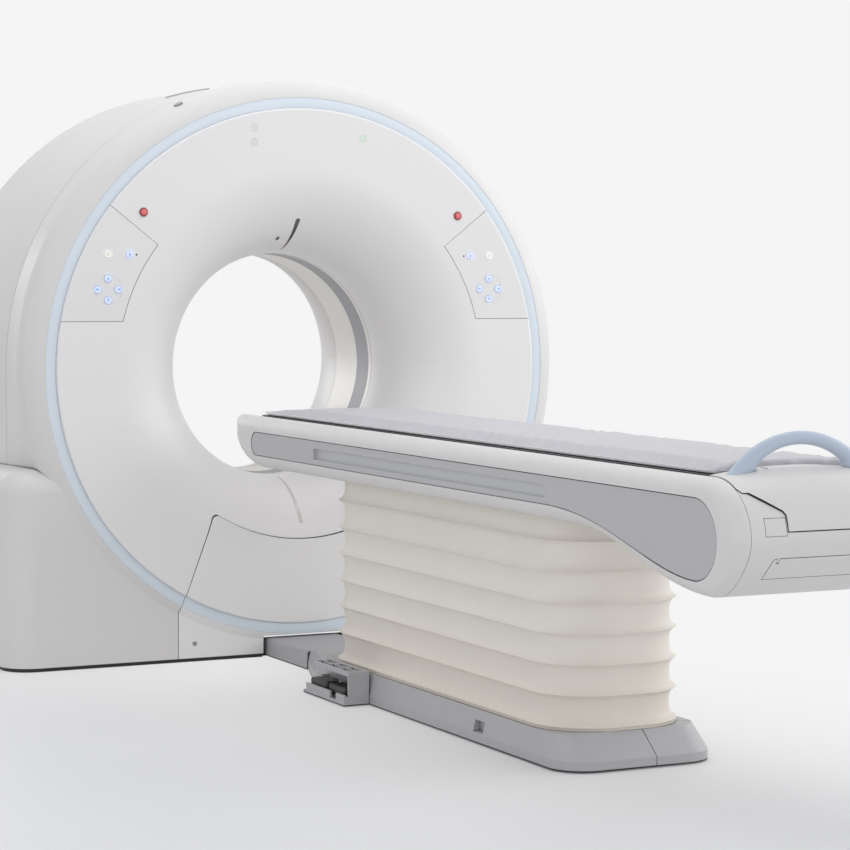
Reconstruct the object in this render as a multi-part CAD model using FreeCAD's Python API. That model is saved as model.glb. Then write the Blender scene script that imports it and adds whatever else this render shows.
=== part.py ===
"""Medical CT scanner: a ring-shaped gantry on a floor stand, with a patient couch on a bellows-covered lift.

Frame: millimetres, +Z up, the floor is z = 0. The bore axis runs along Y. The origin is the point of the
floor under the isocentre, where the scan plane crosses the bore axis. The couch stands at -Y, so a patient
travels into the bore along +Y. Depths inside the gantry are counted from its front face, towards +Y.
"""
import FreeCAD
import Part
import math
import os

V = FreeCAD.Vector

# ---------------------------------------------------------------- driving dimensions
AXIS_Z = 920.0            # height of the bore axis above the floor
BORE_R = 360.0            # radius of the patient bore
SCAN_DEPTH = 355.0        # scan plane, behind the front face
GANTRY_DEPTH = 950.0      # front face to rear face
FACE_Y = -SCAN_DEPTH      # the front face
WALL = 6.0                # wall of the moulded covers
SEAM = 2.0                # gap between neighbouring covers
TOE_GAP = 12.0            # covers end this far above the floor

FUNNEL_DEPTH = 285.0      # front funnel, face to window
FUNNEL_R = 624.0          # radius where the front funnel meets the flat face
REAR_FUNNEL_DEPTH = 375.0
REAR_FUNNEL_R = 570.0
FACE_R = 817.0            # outer edge of the flat face
TRIM_R = 850.0            # outer edge of the blue trim ring
RIM_R = 906.0             # rounded rim outside the trim
RIM_LIP = 8.0             # inner edge of the rim, behind the face
DRUM_FRONT_R = 914.0      # drum just behind the rim
DRUM_WAIST_R = 885.0      # drawn-in sides of the drum at the crease
DRUM_WAIST_TOP_R = 908.0  # the crease fades out at this radius at the top
DRUM_REAR_R = 913.0
RIM_DEPTH = 95.0
CREASE_DEPTH = 300.0
REAR_RIM_DEPTH = 930.0

STAND_HALF_W = 967.0
STAND_TOP_Z = 616.0
STAND_DEPTH = 18.0        # front of the stand, behind the face
STAND_CORNER_R = 95.0
STAND_TOP_EDGE_R = 70.0
STAND_MEETS_RIM_R = 868.0 # the flat front of the stand runs into the rim here
DRUM_LOW_Z = 400.0        # the drum's sides are drawn down to here, inside the stand
COVER_ARC_R = 548.0       # top edge of the lower service cover
COVER_TOP_HALF_W = 305.0
COVER_HALF_W = 421.5
COVER_KNEE_Z = 157.0      # its sloping sides turn upright here

WINDOW_HALF_W = 45.5      # scan window, along Y
LINER_T = 6.0

PANEL_INNER_R = 623.0     # control panels: a sector between two radii
PANEL_OUTER_R = FACE_R + 4.0
PANEL_LOW_Z = 148.0       # lower edge, above the bore axis
PANEL_TOP_DEG = 38.0      # upper edge, a radial line
KEY_R = 12.0
KEY_TRAVEL = 1.5
STOP_R = 15.0
STOP_TRAVEL = 5.0

COUCH_HEAD_Y = FACE_Y - 30.0
COUCH_END_Y = FACE_Y - 2940.0
FRAME_HALF_W = 255.0
FRAME_TOP_Z = 776.0
FRAME_LOW_Z = 622.0
FOOT_LOW_Z = 512.0
FRAME_EDGE_R = 37.0
FRAME_WALL = 5.0
SIDE_INNER_X = 212.0      # inner top edge of the side covers
CAP_HALF_W = 211.0        # foot end cap, between the ends of the side covers
CAP_START_Y = FACE_Y - 2815.0
ROLL_START_Y = FACE_Y - 2795.0    # where the top starts to roll over into the foot end
WAIST_Z = 645.0           # height at which the foot end reaches furthest
ROUNDNESS = 0.5523        # a Bezier curve with arms of this share follows a quarter circle
SOLE_Y = FACE_Y - 2805.0  # where the deep underside starts to rise into the foot end
CRADLE_HALF_W = 207.0
CRADLE_LOW_Z = 766.0
CRADLE_TOP_Z = 778.0
CRADLE_HEAD_Y = FACE_Y - 100.0
CRADLE_END_Y = FACE_Y - 2765.0
MAT_TOP_Z = 802.0
TONGUE_HALF_W = 115.0     # foot end cover: the part that hangs between the rails
TONGUE_LOW_Z = 665.0
SHOULDER_HALF_W = 209.5
SHOULDER_LOW_Z = 756.0
STEP_Z = 748.0            # small step in the shoulders' underside
COVER_TOP_Z = 795.0       # crown of the foot end cover
COVER_CROWN = 17.0        # how much lower its sides are than its crown
RUN_GAP = 2.0             # clearance round what slides

BELLOWS_HEAD_Y = FACE_Y - 602.0
BELLOWS_FOOT_Y = FACE_Y - 2052.0
BELLOWS_HALF_W = 190.0
BELLOWS_R = 150.0
BELLOWS_DIP = 17.0        # depth of the folds
BELLOWS_RIDGES = 7
BELLOWS_WALL = 8.0
PLINTH_TOP_Z = 86.0
PLINTH_HALF_W = 222.0
PLINTH_FOOT_Y = FACE_Y - 2137.0
PLINTH_SIDE_Y = FACE_Y - 600.0
PLINTH_NOSE_Y = FACE_Y - 300.0
PLINTH_SEAM_X = 32.0
PLINTH_BAND_Z = 28.0
DUCT_HALF_W = 123.0
DUCT_TOP_Z = 60.0
COLUMN_Y = 0.5 * (BELLOWS_HEAD_Y + BELLOWS_FOOT_Y)

PEDAL_FOOT_Y = FACE_Y - 980.0
PEDAL_HEAD_Y = FACE_Y - 690.0
PEDAL_OUT_X = -300.0
PEDAL_TOP_Z = 98.0

ANCHOR_X = 630.0
ANCHOR_Y = 270.0
ANCHOR_R = 9.0
COUCH_ANCHOR_X = 165.0
COUCH_ANCHOR_DY = 650.0
COUCH_ANCHOR_R = 7.0

BIG = 5000.0


# ---------------------------------------------------------------- helpers
def depth(d):
    """The Y of a point d behind the gantry's front face."""
    return FACE_Y + d


def box(x0, x1, y0, y1, z0, z1):
    """A block between two corners."""
    corner = V(min(x0, x1), min(y0, y1), min(z0, z1))
    return Part.makeBox(abs(x1 - x0), abs(y1 - y0), abs(z1 - z0), corner)


def rod_y(x, z, radius, y0, y1):
    """A cylinder along Y."""
    return Part.makeCylinder(radius, y1 - y0, V(x, y0, z), V(0, 1, 0))


def rod_x(y, z, radius, x0, x1):
    """A cylinder along X."""
    return Part.makeCylinder(radius, x1 - x0, V(x0, y, z), V(1, 0, 0))


def rod_z(x, y, radius, z0, z1):
    """A cylinder along Z."""
    return Part.makeCylinder(radius, z1 - z0, V(x, y, z0), V(0, 0, 1))


def bore_ring(r_in, r_out, y0, y1):
    """A plain ring round the bore axis."""
    return rod_y(0, AXIS_Z, r_out, y0, y1).cut(rod_y(0, AXIS_Z, r_in, y0 - 1, y1 + 1))


def profile_point(r, d):
    """A point of a revolved profile: radius r from the bore axis, d behind the face."""
    return V(r, depth(d), AXIS_Z)


def lines(points):
    """Straight edges through a list of points."""
    return [Part.makeLine(a, b) for a, b in zip(points, points[1:])]


def arc(a, b, c):
    """A circular arc from a to c through b."""
    return Part.Arc(a, b, c).toShape()


def ellipse_quarter(centre, major_end, minor_end):
    """A quarter of an ellipse, from the end of its major axis to the end of its minor axis."""
    ellipse = Part.Ellipse(major_end, minor_end, centre)
    return Part.ArcOfEllipse(ellipse, 0.0, math.pi / 2).toShape()


def spun(edges):
    """A closed profile turned once round the bore axis."""
    face = Part.Face(Part.Wire(Part.__sortEdges__(edges)))
    return face.revolve(V(0, 0, AXIS_Z), V(0, 1, 0), 360)


def slab_x(edges, x0, x1):
    """A closed outline in a plane of constant X, extruded from x0 to x1."""
    face = Part.Face(Part.Wire(Part.__sortEdges__(edges)))
    face.translate(V(x0, 0, 0))
    return face.extrude(V(x1 - x0, 0, 0))


def slab_y(edges, y0, y1):
    """A closed outline drawn at Y = 0, extruded from y0 to y1."""
    face = Part.Face(Part.Wire(Part.__sortEdges__(edges)))
    face.translate(V(0, y0, 0))
    return face.extrude(V(0, y1 - y0, 0))


def mirrored(shape):
    """The same shape on the other side of the plane X = 0."""
    return shape.mirror(V(0, 0, 0), V(1, 0, 0))


def fuse_all(shapes):
    """One solid out of several that overlap or share faces."""
    first = shapes[0]
    return first.multiFuse(shapes[1:]).removeSplitter()


def rounded_edges(shape, radius, keep):
    """Fillet every edge whose centre passes the test keep(point, edge)."""
    edges = [e for e in shape.Edges if keep(e.CenterOfMass, e)]
    return shape.makeFillet(radius, edges)


def rounded_rect(half_w, y0, y1, radius, z):
    """A rectangle with round corners in a plane of constant Z."""
    bend = radius * (1 - math.sqrt(0.5))
    w = half_w
    r = radius
    edges = [Part.makeLine(V(-w + r, y0, z), V(w - r, y0, z))]
    edges.append(arc(V(w - r, y0, z), V(w - bend, y0 + bend, z), V(w, y0 + r, z)))
    edges.append(Part.makeLine(V(w, y0 + r, z), V(w, y1 - r, z)))
    edges.append(arc(V(w, y1 - r, z), V(w - bend, y1 - bend, z), V(w - r, y1, z)))
    edges.append(Part.makeLine(V(w - r, y1, z), V(-w + r, y1, z)))
    edges.append(arc(V(-w + r, y1, z), V(-w + bend, y1 - bend, z), V(-w, y1 - r, z)))
    edges.append(Part.makeLine(V(-w, y1 - r, z), V(-w, y0 + r, z)))
    edges.append(arc(V(-w, y0 + r, z), V(-w + bend, y0 + bend, z), V(-w + r, y0, z)))
    return Part.Wire(edges)


# ---------------------------------------------------------------- gantry covers
def funnel_edge(d_face, d_end, r_flat, r_bore, inset):
    """The curve of a bore funnel: a quarter ellipse that leaves the flat face and ends along the bore."""
    towards = 1.0 if d_end < d_face else -1.0
    centre = profile_point(r_flat, d_end)
    on_face = profile_point(r_flat, d_face - towards * inset)
    on_bore = profile_point(r_bore + inset, d_end)
    if abs(d_face - d_end) > r_flat - r_bore:
        return ellipse_quarter(centre, on_face, on_bore)
    return ellipse_quarter(centre, on_bore, on_face)


def front_funnel(inset):
    return funnel_edge(0.0, FUNNEL_DEPTH, FUNNEL_R, BORE_R, inset)


def rear_funnel(inset):
    start = GANTRY_DEPTH - REAR_FUNNEL_DEPTH
    return funnel_edge(GANTRY_DEPTH, start, REAR_FUNNEL_R, BORE_R, inset)


def dish():
    """The front face and its funnel, with a returned edge beside the trim ring."""
    p = profile_point
    edges = [front_funnel(0.0)]
    edges.append(Part.makeLine(p(FUNNEL_R, 0), p(FACE_R - 7, 0)))
    edges.append(arc(p(FACE_R - 7, 0), p(FACE_R - 2, 2), p(FACE_R, 7)))
    edges += lines([p(FACE_R, 7), p(FACE_R, 15), p(FACE_R - WALL, 15), p(FACE_R - WALL, WALL)])
    edges.append(Part.makeLine(p(FACE_R - WALL, WALL), p(FUNNEL_R, WALL)))
    edges.append(front_funnel(WALL))
    edges.append(Part.makeLine(p(BORE_R + WALL, FUNNEL_DEPTH), p(BORE_R, FUNNEL_DEPTH)))
    return spun(edges)


RIM_INNER_R = TRIM_R + 0.5
CHANNEL_FLOOR = 16.0      # floor of the trim ring's channel, behind the face


def rim_outer():
    """The rounded white rim outside the trim ring, as two arcs from the channel to the drum."""
    p = profile_point
    first = arc(p(RIM_INNER_R, RIM_LIP), p(882, 24), p(RIM_R, 50))
    second = arc(p(RIM_R, 50), p(911.8, 70), p(DRUM_FRONT_R, RIM_DEPTH))
    return [first, second]


def rim():
    """Channel floor for the trim ring and the rounded rim outside it, all the way round."""
    p = profile_point
    floor_start = p(FACE_R + 1.5, CHANNEL_FLOOR)
    edges = lines([floor_start, p(RIM_INNER_R, CHANNEL_FLOOR), p(RIM_INNER_R, RIM_LIP)])
    edges += rim_outer()
    edges += lines([p(DRUM_FRONT_R, RIM_DEPTH), p(DRUM_FRONT_R - WALL, RIM_DEPTH), p(889, 44), p(872, 24)])
    edges += lines([p(872, 24), p(FACE_R + 1.5, 22), floor_start])
    return spun(edges)


def face_with_rim():
    """Flat face, channel and rim in one piece, as on the lower service cover."""
    p = profile_point
    edges = [Part.makeLine(p(COVER_ARC_R - 20, 0), p(FACE_R - 7, 0))]
    edges.append(arc(p(FACE_R - 7, 0), p(FACE_R - 2, 2), p(FACE_R, 7)))
    edges += lines([p(FACE_R, 7), p(FACE_R, CHANNEL_FLOOR), p(RIM_INNER_R, CHANNEL_FLOOR)])
    edges.append(Part.makeLine(p(RIM_INNER_R, CHANNEL_FLOOR), p(RIM_INNER_R, RIM_LIP)))
    edges += rim_outer()
    edges += lines([p(DRUM_FRONT_R, RIM_DEPTH), p(DRUM_FRONT_R - WALL, RIM_DEPTH), p(889, 44), p(872, 24)])
    edges += lines([p(872, 24), p(FACE_R - WALL, 22), p(FACE_R - WALL, WALL), p(COVER_ARC_R - 20, WALL)])
    edges.append(Part.makeLine(p(COVER_ARC_R - 20, WALL), p(COVER_ARC_R - 20, 0)))
    return spun(edges)


def service_prism(gap):
    """The outline of the lower service cover, grown by gap, as a block through the front."""
    radius = COVER_ARC_R - gap
    top_x = COVER_TOP_HALF_W + gap
    top_z = AXIS_Z - math.sqrt(radius ** 2 - top_x ** 2)
    knee = V(COVER_HALF_W + gap, 0, COVER_KNEE_Z)
    toe = V(COVER_HALF_W + gap, 0, TOE_GAP)
    left = [V(-v.x, 0, v.z) for v in (toe, knee)]
    edges = [arc(V(-top_x, 0, top_z), V(0, 0, AXIS_Z - radius), V(top_x, 0, top_z))]
    edges += lines([V(top_x, 0, top_z), knee, toe] + left + [V(-top_x, 0, top_z)])
    block = slab_y(edges, depth(-20), depth(120))
    return rounded_edges(block, 16.0, lambda c, e: abs(c.z - top_z) < 1 and e.Length > 100)


def panel_prism(side, gap):
    """The sector of one control panel, shrunk by gap. side is -1 for the left, 1 for the right."""
    r_in = PANEL_INNER_R + gap
    r_out = PANEL_OUTER_R - gap
    low = PANEL_LOW_Z + gap
    top = math.radians(PANEL_TOP_DEG) - gap / PANEL_OUTER_R

    def at(radius, angle):
        return V(side * radius * math.cos(angle), 0, AXIS_Z + radius * math.sin(angle))

    low_in = math.asin(low / r_in)
    low_out = math.asin(low / r_out)
    mid = 0.5 * (top + low_in)
    edges = [arc(at(r_in, low_in), at(r_in, mid), at(r_in, top))]
    edges.append(Part.makeLine(at(r_in, top), at(r_out, top)))
    edges.append(arc(at(r_out, top), at(r_out, mid), at(r_out, low_out)))
    edges.append(Part.makeLine(at(r_out, low_out), at(r_in, low_in)))
    return slab_y(edges, depth(-10), depth(60))


KEY_PAD_X = 653.0         # centre of the four direction keys
KEY_PAD_Z = 246.0
KEY_PITCH = 33.5
UPPER_KEY_Z = 354.0
KEY_PLACES = {
    "up": (KEY_PAD_X, KEY_PAD_Z + KEY_PITCH),
    "down": (KEY_PAD_X, KEY_PAD_Z - KEY_PITCH),
    "outer": (KEY_PAD_X + KEY_PITCH, KEY_PAD_Z),
    "inner": (KEY_PAD_X - KEY_PITCH, KEY_PAD_Z),
    "light": (KEY_PAD_X, UPPER_KEY_Z),
    "home": (KEY_PAD_X - 70.0, UPPER_KEY_Z),
}
LED_PLACE = (KEY_PAD_X - 92.0, UPPER_KEY_Z - 2.0)
STOP_PLACE = (538.0, 483.0)
LAMP_PLACE = (201.0, 724.0)
BREATH_PLACES = [(-172.0, 750.0), (-172.0, 706.0)]
LASER_SLOTS = {
    "upper": (372.0, 2.0, 463.0, 7.0),
    "lower": (366.0, 3.0, 496.0, 4.5),
}
LENS_PLACE = (-45.0, 407.0)


def front_cover():
    """Dish-shaped front cover, open where panels, lamps, stops and laser windows sit."""
    cover = dish().cut(service_prism(SEAM))
    for side in (-1, 1):
        cover = cover.cut(panel_prism(side, -0.75))
        x, z = STOP_PLACE
        cover = cover.cut(rod_y(side * x, AXIS_Z + z, STOP_R + 0.5, depth(-5), depth(30)))
    for x, z in [LAMP_PLACE] + BREATH_PLACES:
        cover = cover.cut(rod_y(x, AXIS_Z + z, KEY_R + 0.3, depth(-5), depth(30)))
    cover = cover.cut(rod_y(LENS_PLACE[0], AXIS_Z + LENS_PLACE[1], 6.0, depth(60), depth(160)))
    cover = cover.cut(laser_slot("upper", 0.5))
    return cover.cut(laser_slot("lower", 0.5))


def laser_slot(place, grow):
    """The slot of a positioning laser in the funnel: narrow at the bore, wider and round further out."""
    near, near_half_w, far, far_half_w = LASER_SLOTS[place]
    side = 1.0 if place == "upper" else -1.0
    a = near_half_w + grow
    b = far_half_w + grow
    start = AXIS_Z + side * (near - grow)
    end = AXIS_Z + side * far
    outline = lines([V(-a, 0, start), V(a, 0, start), V(b, 0, end), V(-b, 0, end), V(-a, 0, start)])
    wedge = slab_y(outline, depth(10), depth(275))
    return wedge.fuse(rod_y(0, end, b, depth(10), depth(275)))


def laser_windows():
    """Both laser windows, let in flush with the funnel."""
    upper = dish().common(laser_slot("upper", 0.0))
    lower = dish().common(laser_slot("lower", 0.0))
    return Part.makeCompound([upper, lower])


def front_lower_cover():
    """Service cover: a sector of the face, its piece of channel and rim, and the stand's middle panel."""
    round_part = face_with_rim().common(service_prism(0.0))
    round_part = round_part.cut(box(-BIG, BIG, depth(STAND_DEPTH + WALL), depth(200), 0, AXIS_Z))
    panel = box(-BIG, BIG, depth(STAND_DEPTH), depth(STAND_DEPTH + WALL), TOE_GAP, 300)
    panel = panel.common(service_prism(0.0)).cut(rod_y(0, AXIS_Z, STAND_MEETS_RIM_R, depth(-5), depth(60)))
    notch = box(-DUCT_HALF_W - 14, DUCT_HALF_W + 14, depth(-5), depth(60), 0, DUCT_TOP_Z + 8)
    cover = fuse_all([round_part, panel]).cut(notch)
    for x in (-368, 368):
        cover = cover.cut(rod_y(x, 57, 7.5, depth(0), depth(60)))
    return cover


def front_trim_ring():
    """Blue trim ring in its channel, cut at the seams of the service cover."""
    p = profile_point
    edges = [arc(p(FACE_R + 1.5, 9), p(834, 7.5), p(TRIM_R, 9))]
    edges += lines([p(TRIM_R, 9), p(TRIM_R, CHANNEL_FLOOR), p(FACE_R + 1.5, CHANNEL_FLOOR)])
    edges.append(Part.makeLine(p(FACE_R + 1.5, CHANNEL_FLOOR), p(FACE_R + 1.5, 9)))
    ring = spun(edges)
    upper = ring.cut(service_prism(SEAM))
    lower = ring.common(service_prism(0.0))
    return Part.makeCompound([upper, lower])


def drum_wire(y, half_w, half_h, straight, low_z):
    """Section of the drum at Y = y: half an ellipse above the axis, straight or round sides below it."""
    ellipse = Part.Ellipse(V(0, y, AXIS_Z + half_h), V(half_w, y, AXIS_Z), V(0, y, AXIS_Z))
    upper = Part.ArcOfEllipse(ellipse, -0.5 * math.pi, 0.5 * math.pi).toShape()
    drop = AXIS_Z - low_z
    low_x = half_w if straight else math.sqrt(half_w ** 2 - drop ** 2)
    mid_x = half_w if straight else math.sqrt(half_w ** 2 - 0.25 * drop ** 2)
    sides = []
    for side in (1, -1):
        top = V(side * half_w, y, AXIS_Z)
        mid = V(side * mid_x, y, AXIS_Z - 0.5 * drop)
        low = V(side * low_x, y, low_z)
        sides.append(Part.makeLine(top, low) if straight else arc(top, mid, low))
    bottom = Part.makeLine(V(low_x, y, low_z), V(-low_x, y, low_z))
    return Part.Wire(Part.__sortEdges__([upper, sides[0], bottom, sides[1]]))


def drum_band(d0, size0, d1, size1):
    """A drum wall between two sections, each given as half width, half height and straight or not."""
    outer_wires = []
    inner_wires = []
    for d, (half_w, half_h, straight) in ((d0, size0), (d1, size1)):
        outer_wires.append(drum_wire(depth(d), half_w, half_h, straight, DRUM_LOW_Z))
        inner_wires.append(drum_wire(depth(d), half_w - WALL, half_h - WALL, straight, DRUM_LOW_Z - 5))
    return Part.makeLoft(outer_wires, True, True).cut(Part.makeLoft(inner_wires, True, True))


def stand_block(inset):
    """Outer form of the stand with rounded front corners and top edges, shrunk by inset."""
    half = STAND_HALF_W - inset
    low = TOE_GAP if inset == 0 else -50
    back = depth(GANTRY_DEPTH - WALL - 1) if inset == 0 else depth(GANTRY_DEPTH + 20)
    front = depth(STAND_DEPTH + inset)
    top = STAND_TOP_Z - inset
    block = box(-half, half, front, back, low, top)

    def upright(c, e):
        return abs(c.y - front) < 1 and abs(abs(c.x) - half) < 1

    block = rounded_edges(block, STAND_CORNER_R - inset, upright)
    return rounded_edges(block, STAND_TOP_EDGE_R - inset, lambda c, e: c.z > top - 1 and c.y < back - 1)


def stand_shell():
    """Skin of the stand, open towards the dish and inside the drum."""
    plate_back = depth(STAND_DEPTH + WALL + 0.5)
    shell = stand_block(0.0).cut(stand_block(WALL))
    shell = shell.cut(rod_y(0, AXIS_Z, STAND_MEETS_RIM_R, depth(0), plate_back))
    return shell.cut(rod_y(0, AXIS_Z, 882, plate_back - 0.1, depth(GANTRY_DEPTH)))


def front_drum_cover():
    """One moulding: rim, trim channel, front band of the drum up to the crease, front of the stand."""
    start = (DRUM_FRONT_R, DRUM_FRONT_R, False)
    waist = (DRUM_WAIST_R, DRUM_WAIST_TOP_R, True)
    drum = fuse_all([rim(), drum_band(RIM_DEPTH, start, CREASE_DEPTH, waist)])
    drum = drum.cut(stand_block(WALL))
    front = stand_shell().common(box(-BIG, BIG, depth(0), depth(CREASE_DEPTH), -BIG, BIG))
    doorway = box(-COVER_HALF_W - SEAM, COVER_HALF_W + SEAM, depth(0), depth(110), 0, 100)
    return fuse_all([drum, front]).cut(service_prism(SEAM)).cut(doorway)


def rear_drum_cover():
    """Rear part of the drum with straight sides, and the service slot across its top."""
    waist = (DRUM_WAIST_R, DRUM_WAIST_TOP_R, True)
    end = (DRUM_REAR_R, DRUM_REAR_R, True)
    band = drum_band(CREASE_DEPTH + SEAM, waist, REAR_RIM_DEPTH, end)
    slot = box(-270, 270, depth(530), depth(542), AXIS_Z + 700, AXIS_Z + 1000)
    below = box(-BIG, BIG, depth(0), BIG, -BIG, STAND_TOP_Z + 1)
    return band.cut(below).cut(slot)


def rear_cover():
    """Rear face with its funnel, and the flat rear panel of the stand below it."""
    p = profile_point
    end = GANTRY_DEPTH
    start = end - REAR_FUNNEL_DEPTH + 0.5
    edges = [rear_funnel(0.0)]
    edges.append(Part.makeLine(p(REAR_FUNNEL_R, end), p(DRUM_REAR_R - 16, end)))
    corner = arc(p(DRUM_REAR_R - 16, end), p(DRUM_REAR_R - 4.7, end - 4.7), p(DRUM_REAR_R, end - 16))
    edges.append(corner)
    inner_r = DRUM_REAR_R - WALL
    edges.append(Part.makeLine(p(DRUM_REAR_R, end - 16), p(DRUM_REAR_R, REAR_RIM_DEPTH + 1)))
    edges.append(Part.makeLine(p(DRUM_REAR_R, REAR_RIM_DEPTH + 1), p(inner_r, REAR_RIM_DEPTH + 1)))
    edges += lines([p(inner_r, REAR_RIM_DEPTH + 1), p(inner_r, end - WALL), p(REAR_FUNNEL_R, end - WALL)])
    edges.append(rear_funnel(WALL))
    first = end - REAR_FUNNEL_DEPTH
    edges.append(Part.makeLine(p(BORE_R + WALL, first), p(BORE_R, first)))
    face = spun(edges)
    face = face.cut(box(-BIG, BIG, depth(REAR_RIM_DEPTH - 5), depth(end - WALL), 0, STAND_TOP_Z + 1).cut(
        rod_y(0, AXIS_Z, 700, depth(500), depth(end))))
    face = face.cut(box(-BIG, BIG, depth(start - 1), depth(start), -BIG, BIG))
    plate = box(-STAND_HALF_W, STAND_HALF_W, depth(end - WALL), depth(end), TOE_GAP, STAND_TOP_Z)

    def top_corner(c, e):
        return c.z > STAND_TOP_Z - 1 and abs(c.x) > STAND_HALF_W - 5 and e.Length < 10

    plate = rounded_edges(plate, STAND_TOP_EDGE_R, top_corner)
    half = DRUM_REAR_R
    shoulders = box(-half, half, depth(end - WALL), depth(end), STAND_TOP_Z - 20, AXIS_Z)
    lip = box(-half, half, depth(REAR_RIM_DEPTH + 1), depth(end), STAND_TOP_Z + 1, AXIS_Z)
    within = half - WALL
    lip = lip.cut(box(-within, within, depth(REAR_RIM_DEPTH), depth(end - WALL), STAND_TOP_Z, AXIS_Z + 5))
    flat = fuse_all([plate, shoulders, lip]).cut(rod_y(0, AXIS_Z, 700, depth(900), depth(end + 5)))
    return fuse_all([face, flat])


def left_stand_cover():
    """Side of the stand behind the crease, with the ledge beside the drum."""
    behind = box(-BIG, 0, depth(CREASE_DEPTH + SEAM), BIG, -BIG, BIG)
    return stand_shell().common(behind)


def scan_window():
    """Grey window ring that the beam passes through."""
    return bore_ring(BORE_R, BORE_R + 4.0, -WINDOW_HALF_W, WINDOW_HALF_W)


def tunnel_liner():
    """Bore liner: a tube with a shallow seat for the scan window."""
    y0 = depth(FUNNEL_DEPTH) + 0.5
    y1 = depth(GANTRY_DEPTH - REAR_FUNNEL_DEPTH) - 0.5
    tube = bore_ring(BORE_R, BORE_R + 4.0 + LINER_T, y0, y1)
    return tube.cut(bore_ring(BORE_R - 1, BORE_R + 4.0, -WINDOW_HALF_W - 0.5, WINDOW_HALF_W + 0.5))


def control_panel(side):
    """Control panel plate with its holes and a shallow round dish under the direction keys."""
    plate = dish().common(panel_prism(side, 0.75))
    plate = plate.cut(rod_y(side * KEY_PAD_X, AXIS_Z + KEY_PAD_Z, 46, depth(-1), depth(0.6)))
    for x, z in KEY_PLACES.values():
        plate = plate.cut(rod_y(side * x, AXIS_Z + z, KEY_R + 0.3, depth(-1), depth(9)))
    x, z = LED_PLACE
    return plate.cut(rod_y(side * x, AXIS_Z + z, 3.2, depth(-1), depth(9)))


def key(side, place):
    """One round key: a crowned cap with a collar that keeps it behind the panel."""
    x, z = KEY_PLACES[place]
    cap = rod_y(side * x, AXIS_Z + z, KEY_R, depth(-2.5), depth(7))
    cap = rounded_edges(cap, 1.2, lambda c, e: c.y < depth(-2))
    hold = rod_y(side * x, AXIS_Z + z, KEY_R + 2, depth(6.4), depth(9))
    return fuse_all([cap, hold])


def emergency_stop(side):
    """Red mushroom button on a short stem."""
    x, z = STOP_PLACE
    head = rod_y(side * x, AXIS_Z + z, STOP_R - 1, depth(-11), depth(-4))
    head = rounded_edges(head, 3.0, lambda c, e: c.y < depth(-10))
    stem = rod_y(side * x, AXIS_Z + z, 8, depth(-4), depth(14))
    hold = rod_y(side * x, AXIS_Z + z, STOP_R + 2, depth(7), depth(10))
    return fuse_all([head, stem, hold])


def indicator_lamps():
    """Exposure lamp, two breathing lamps and a small diode in each panel, all flush."""
    lamps = [rod_y(x, AXIS_Z + z, KEY_R, depth(0.3), depth(7)) for x, z in [LAMP_PLACE] + BREATH_PLACES]
    for side in (-1, 1):
        x, z = LED_PLACE
        lamps.append(rod_y(side * x, AXIS_Z + z, 3.0, depth(0.2), depth(7)))
    lens = rod_y(LENS_PLACE[0], AXIS_Z + LENS_PLACE[1], 5.7, depth(60), depth(160)).common(dish())
    lamps.append(lens)
    return Part.makeCompound(lamps)


def cover_screws():
    """The two plugged quarter-turn fasteners low on the service cover."""
    screws = []
    for x in (-368, 368):
        head = rod_y(x, 57, 7, depth(STAND_DEPTH - 1), depth(STAND_DEPTH + 14))
        slot = box(x - 5, x + 5, depth(STAND_DEPTH - 2), depth(STAND_DEPTH), 56.2, 57.8)
        screws.append(head.cut(slot))
    return Part.makeCompound(screws)


# ---------------------------------------------------------------- inside the gantry
PLATE_Y = 200.0           # front of the frame's bearing plate
PLATE_T = 30.0
RAIL_X0 = 480.0
RAIL_X1 = 770.0


def gantry_frame():
    """Welded steel frame: floor tray, rails, cross beams, cheeks and the plate that holds the bearing."""
    parts = []
    for side in (-1, 1):
        parts.append(box(side * RAIL_X0, side * RAIL_X1, -310, 330, 0, 50))
        parts.append(box(side * 700, side * RAIL_X1, PLATE_Y, PLATE_Y + 120, 50, AXIS_Z))
        brace = lines([V(0, -200, 50), V(0, PLATE_Y, 50), V(0, PLATE_Y, 560), V(0, -200, 50)])
        parts.append(slab_x(brace, side * 735, side * 760))
    for y in (-310, 270):
        parts.append(box(-RAIL_X0, RAIL_X0, y, y + 60, 0, 50))
    back = depth(GANTRY_DEPTH - WALL - 2)
    tray = stand_block(WALL + 1.5).common(box(-BIG, BIG, -BIG, back, 0, 20))
    tray = tray.cut(stand_block(WALL + 6.5).common(box(-BIG, BIG, -BIG, back - 5, 6, 30)))
    tray = tray.cut(box(-DUCT_HALF_W - 14, DUCT_HALF_W + 14, depth(0), depth(44.9), -1, 30))
    parts.append(tray.cut(box(-RAIL_X0 - 1, RAIL_X0 + 1, -249, 269, -5, 10)))
    plate = rod_y(0, AXIS_Z, 800, PLATE_Y, PLATE_Y + PLATE_T)
    plate = fuse_all([plate, box(-780, 780, PLATE_Y, PLATE_Y + PLATE_T, 30, 560)])
    parts.append(plate)
    frame = fuse_all(parts).cut(rod_y(0, AXIS_Z, 480, PLATE_Y - 5, PLATE_Y + PLATE_T + 5))
    for x in (-ANCHOR_X, ANCHOR_X):
        for y in (-ANCHOR_Y, ANCHOR_Y):
            frame = frame.cut(rod_z(x, y, ANCHOR_R, -5, 60))
    return frame


def bearing_outer_ring():
    """Outer ring of the main bearing, bolted to the frame plate."""
    ring = bore_ring(560, 610, 150, PLATE_Y)
    groove = Part.makeTorus(559, 12, V(0, 170, AXIS_Z), V(0, 1, 0))
    return ring.cut(groove)


def drive_stator():
    """Stator ring of the direct drive, on the frame plate."""
    return bore_ring(672, 722, 150, PLATE_Y)


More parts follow.
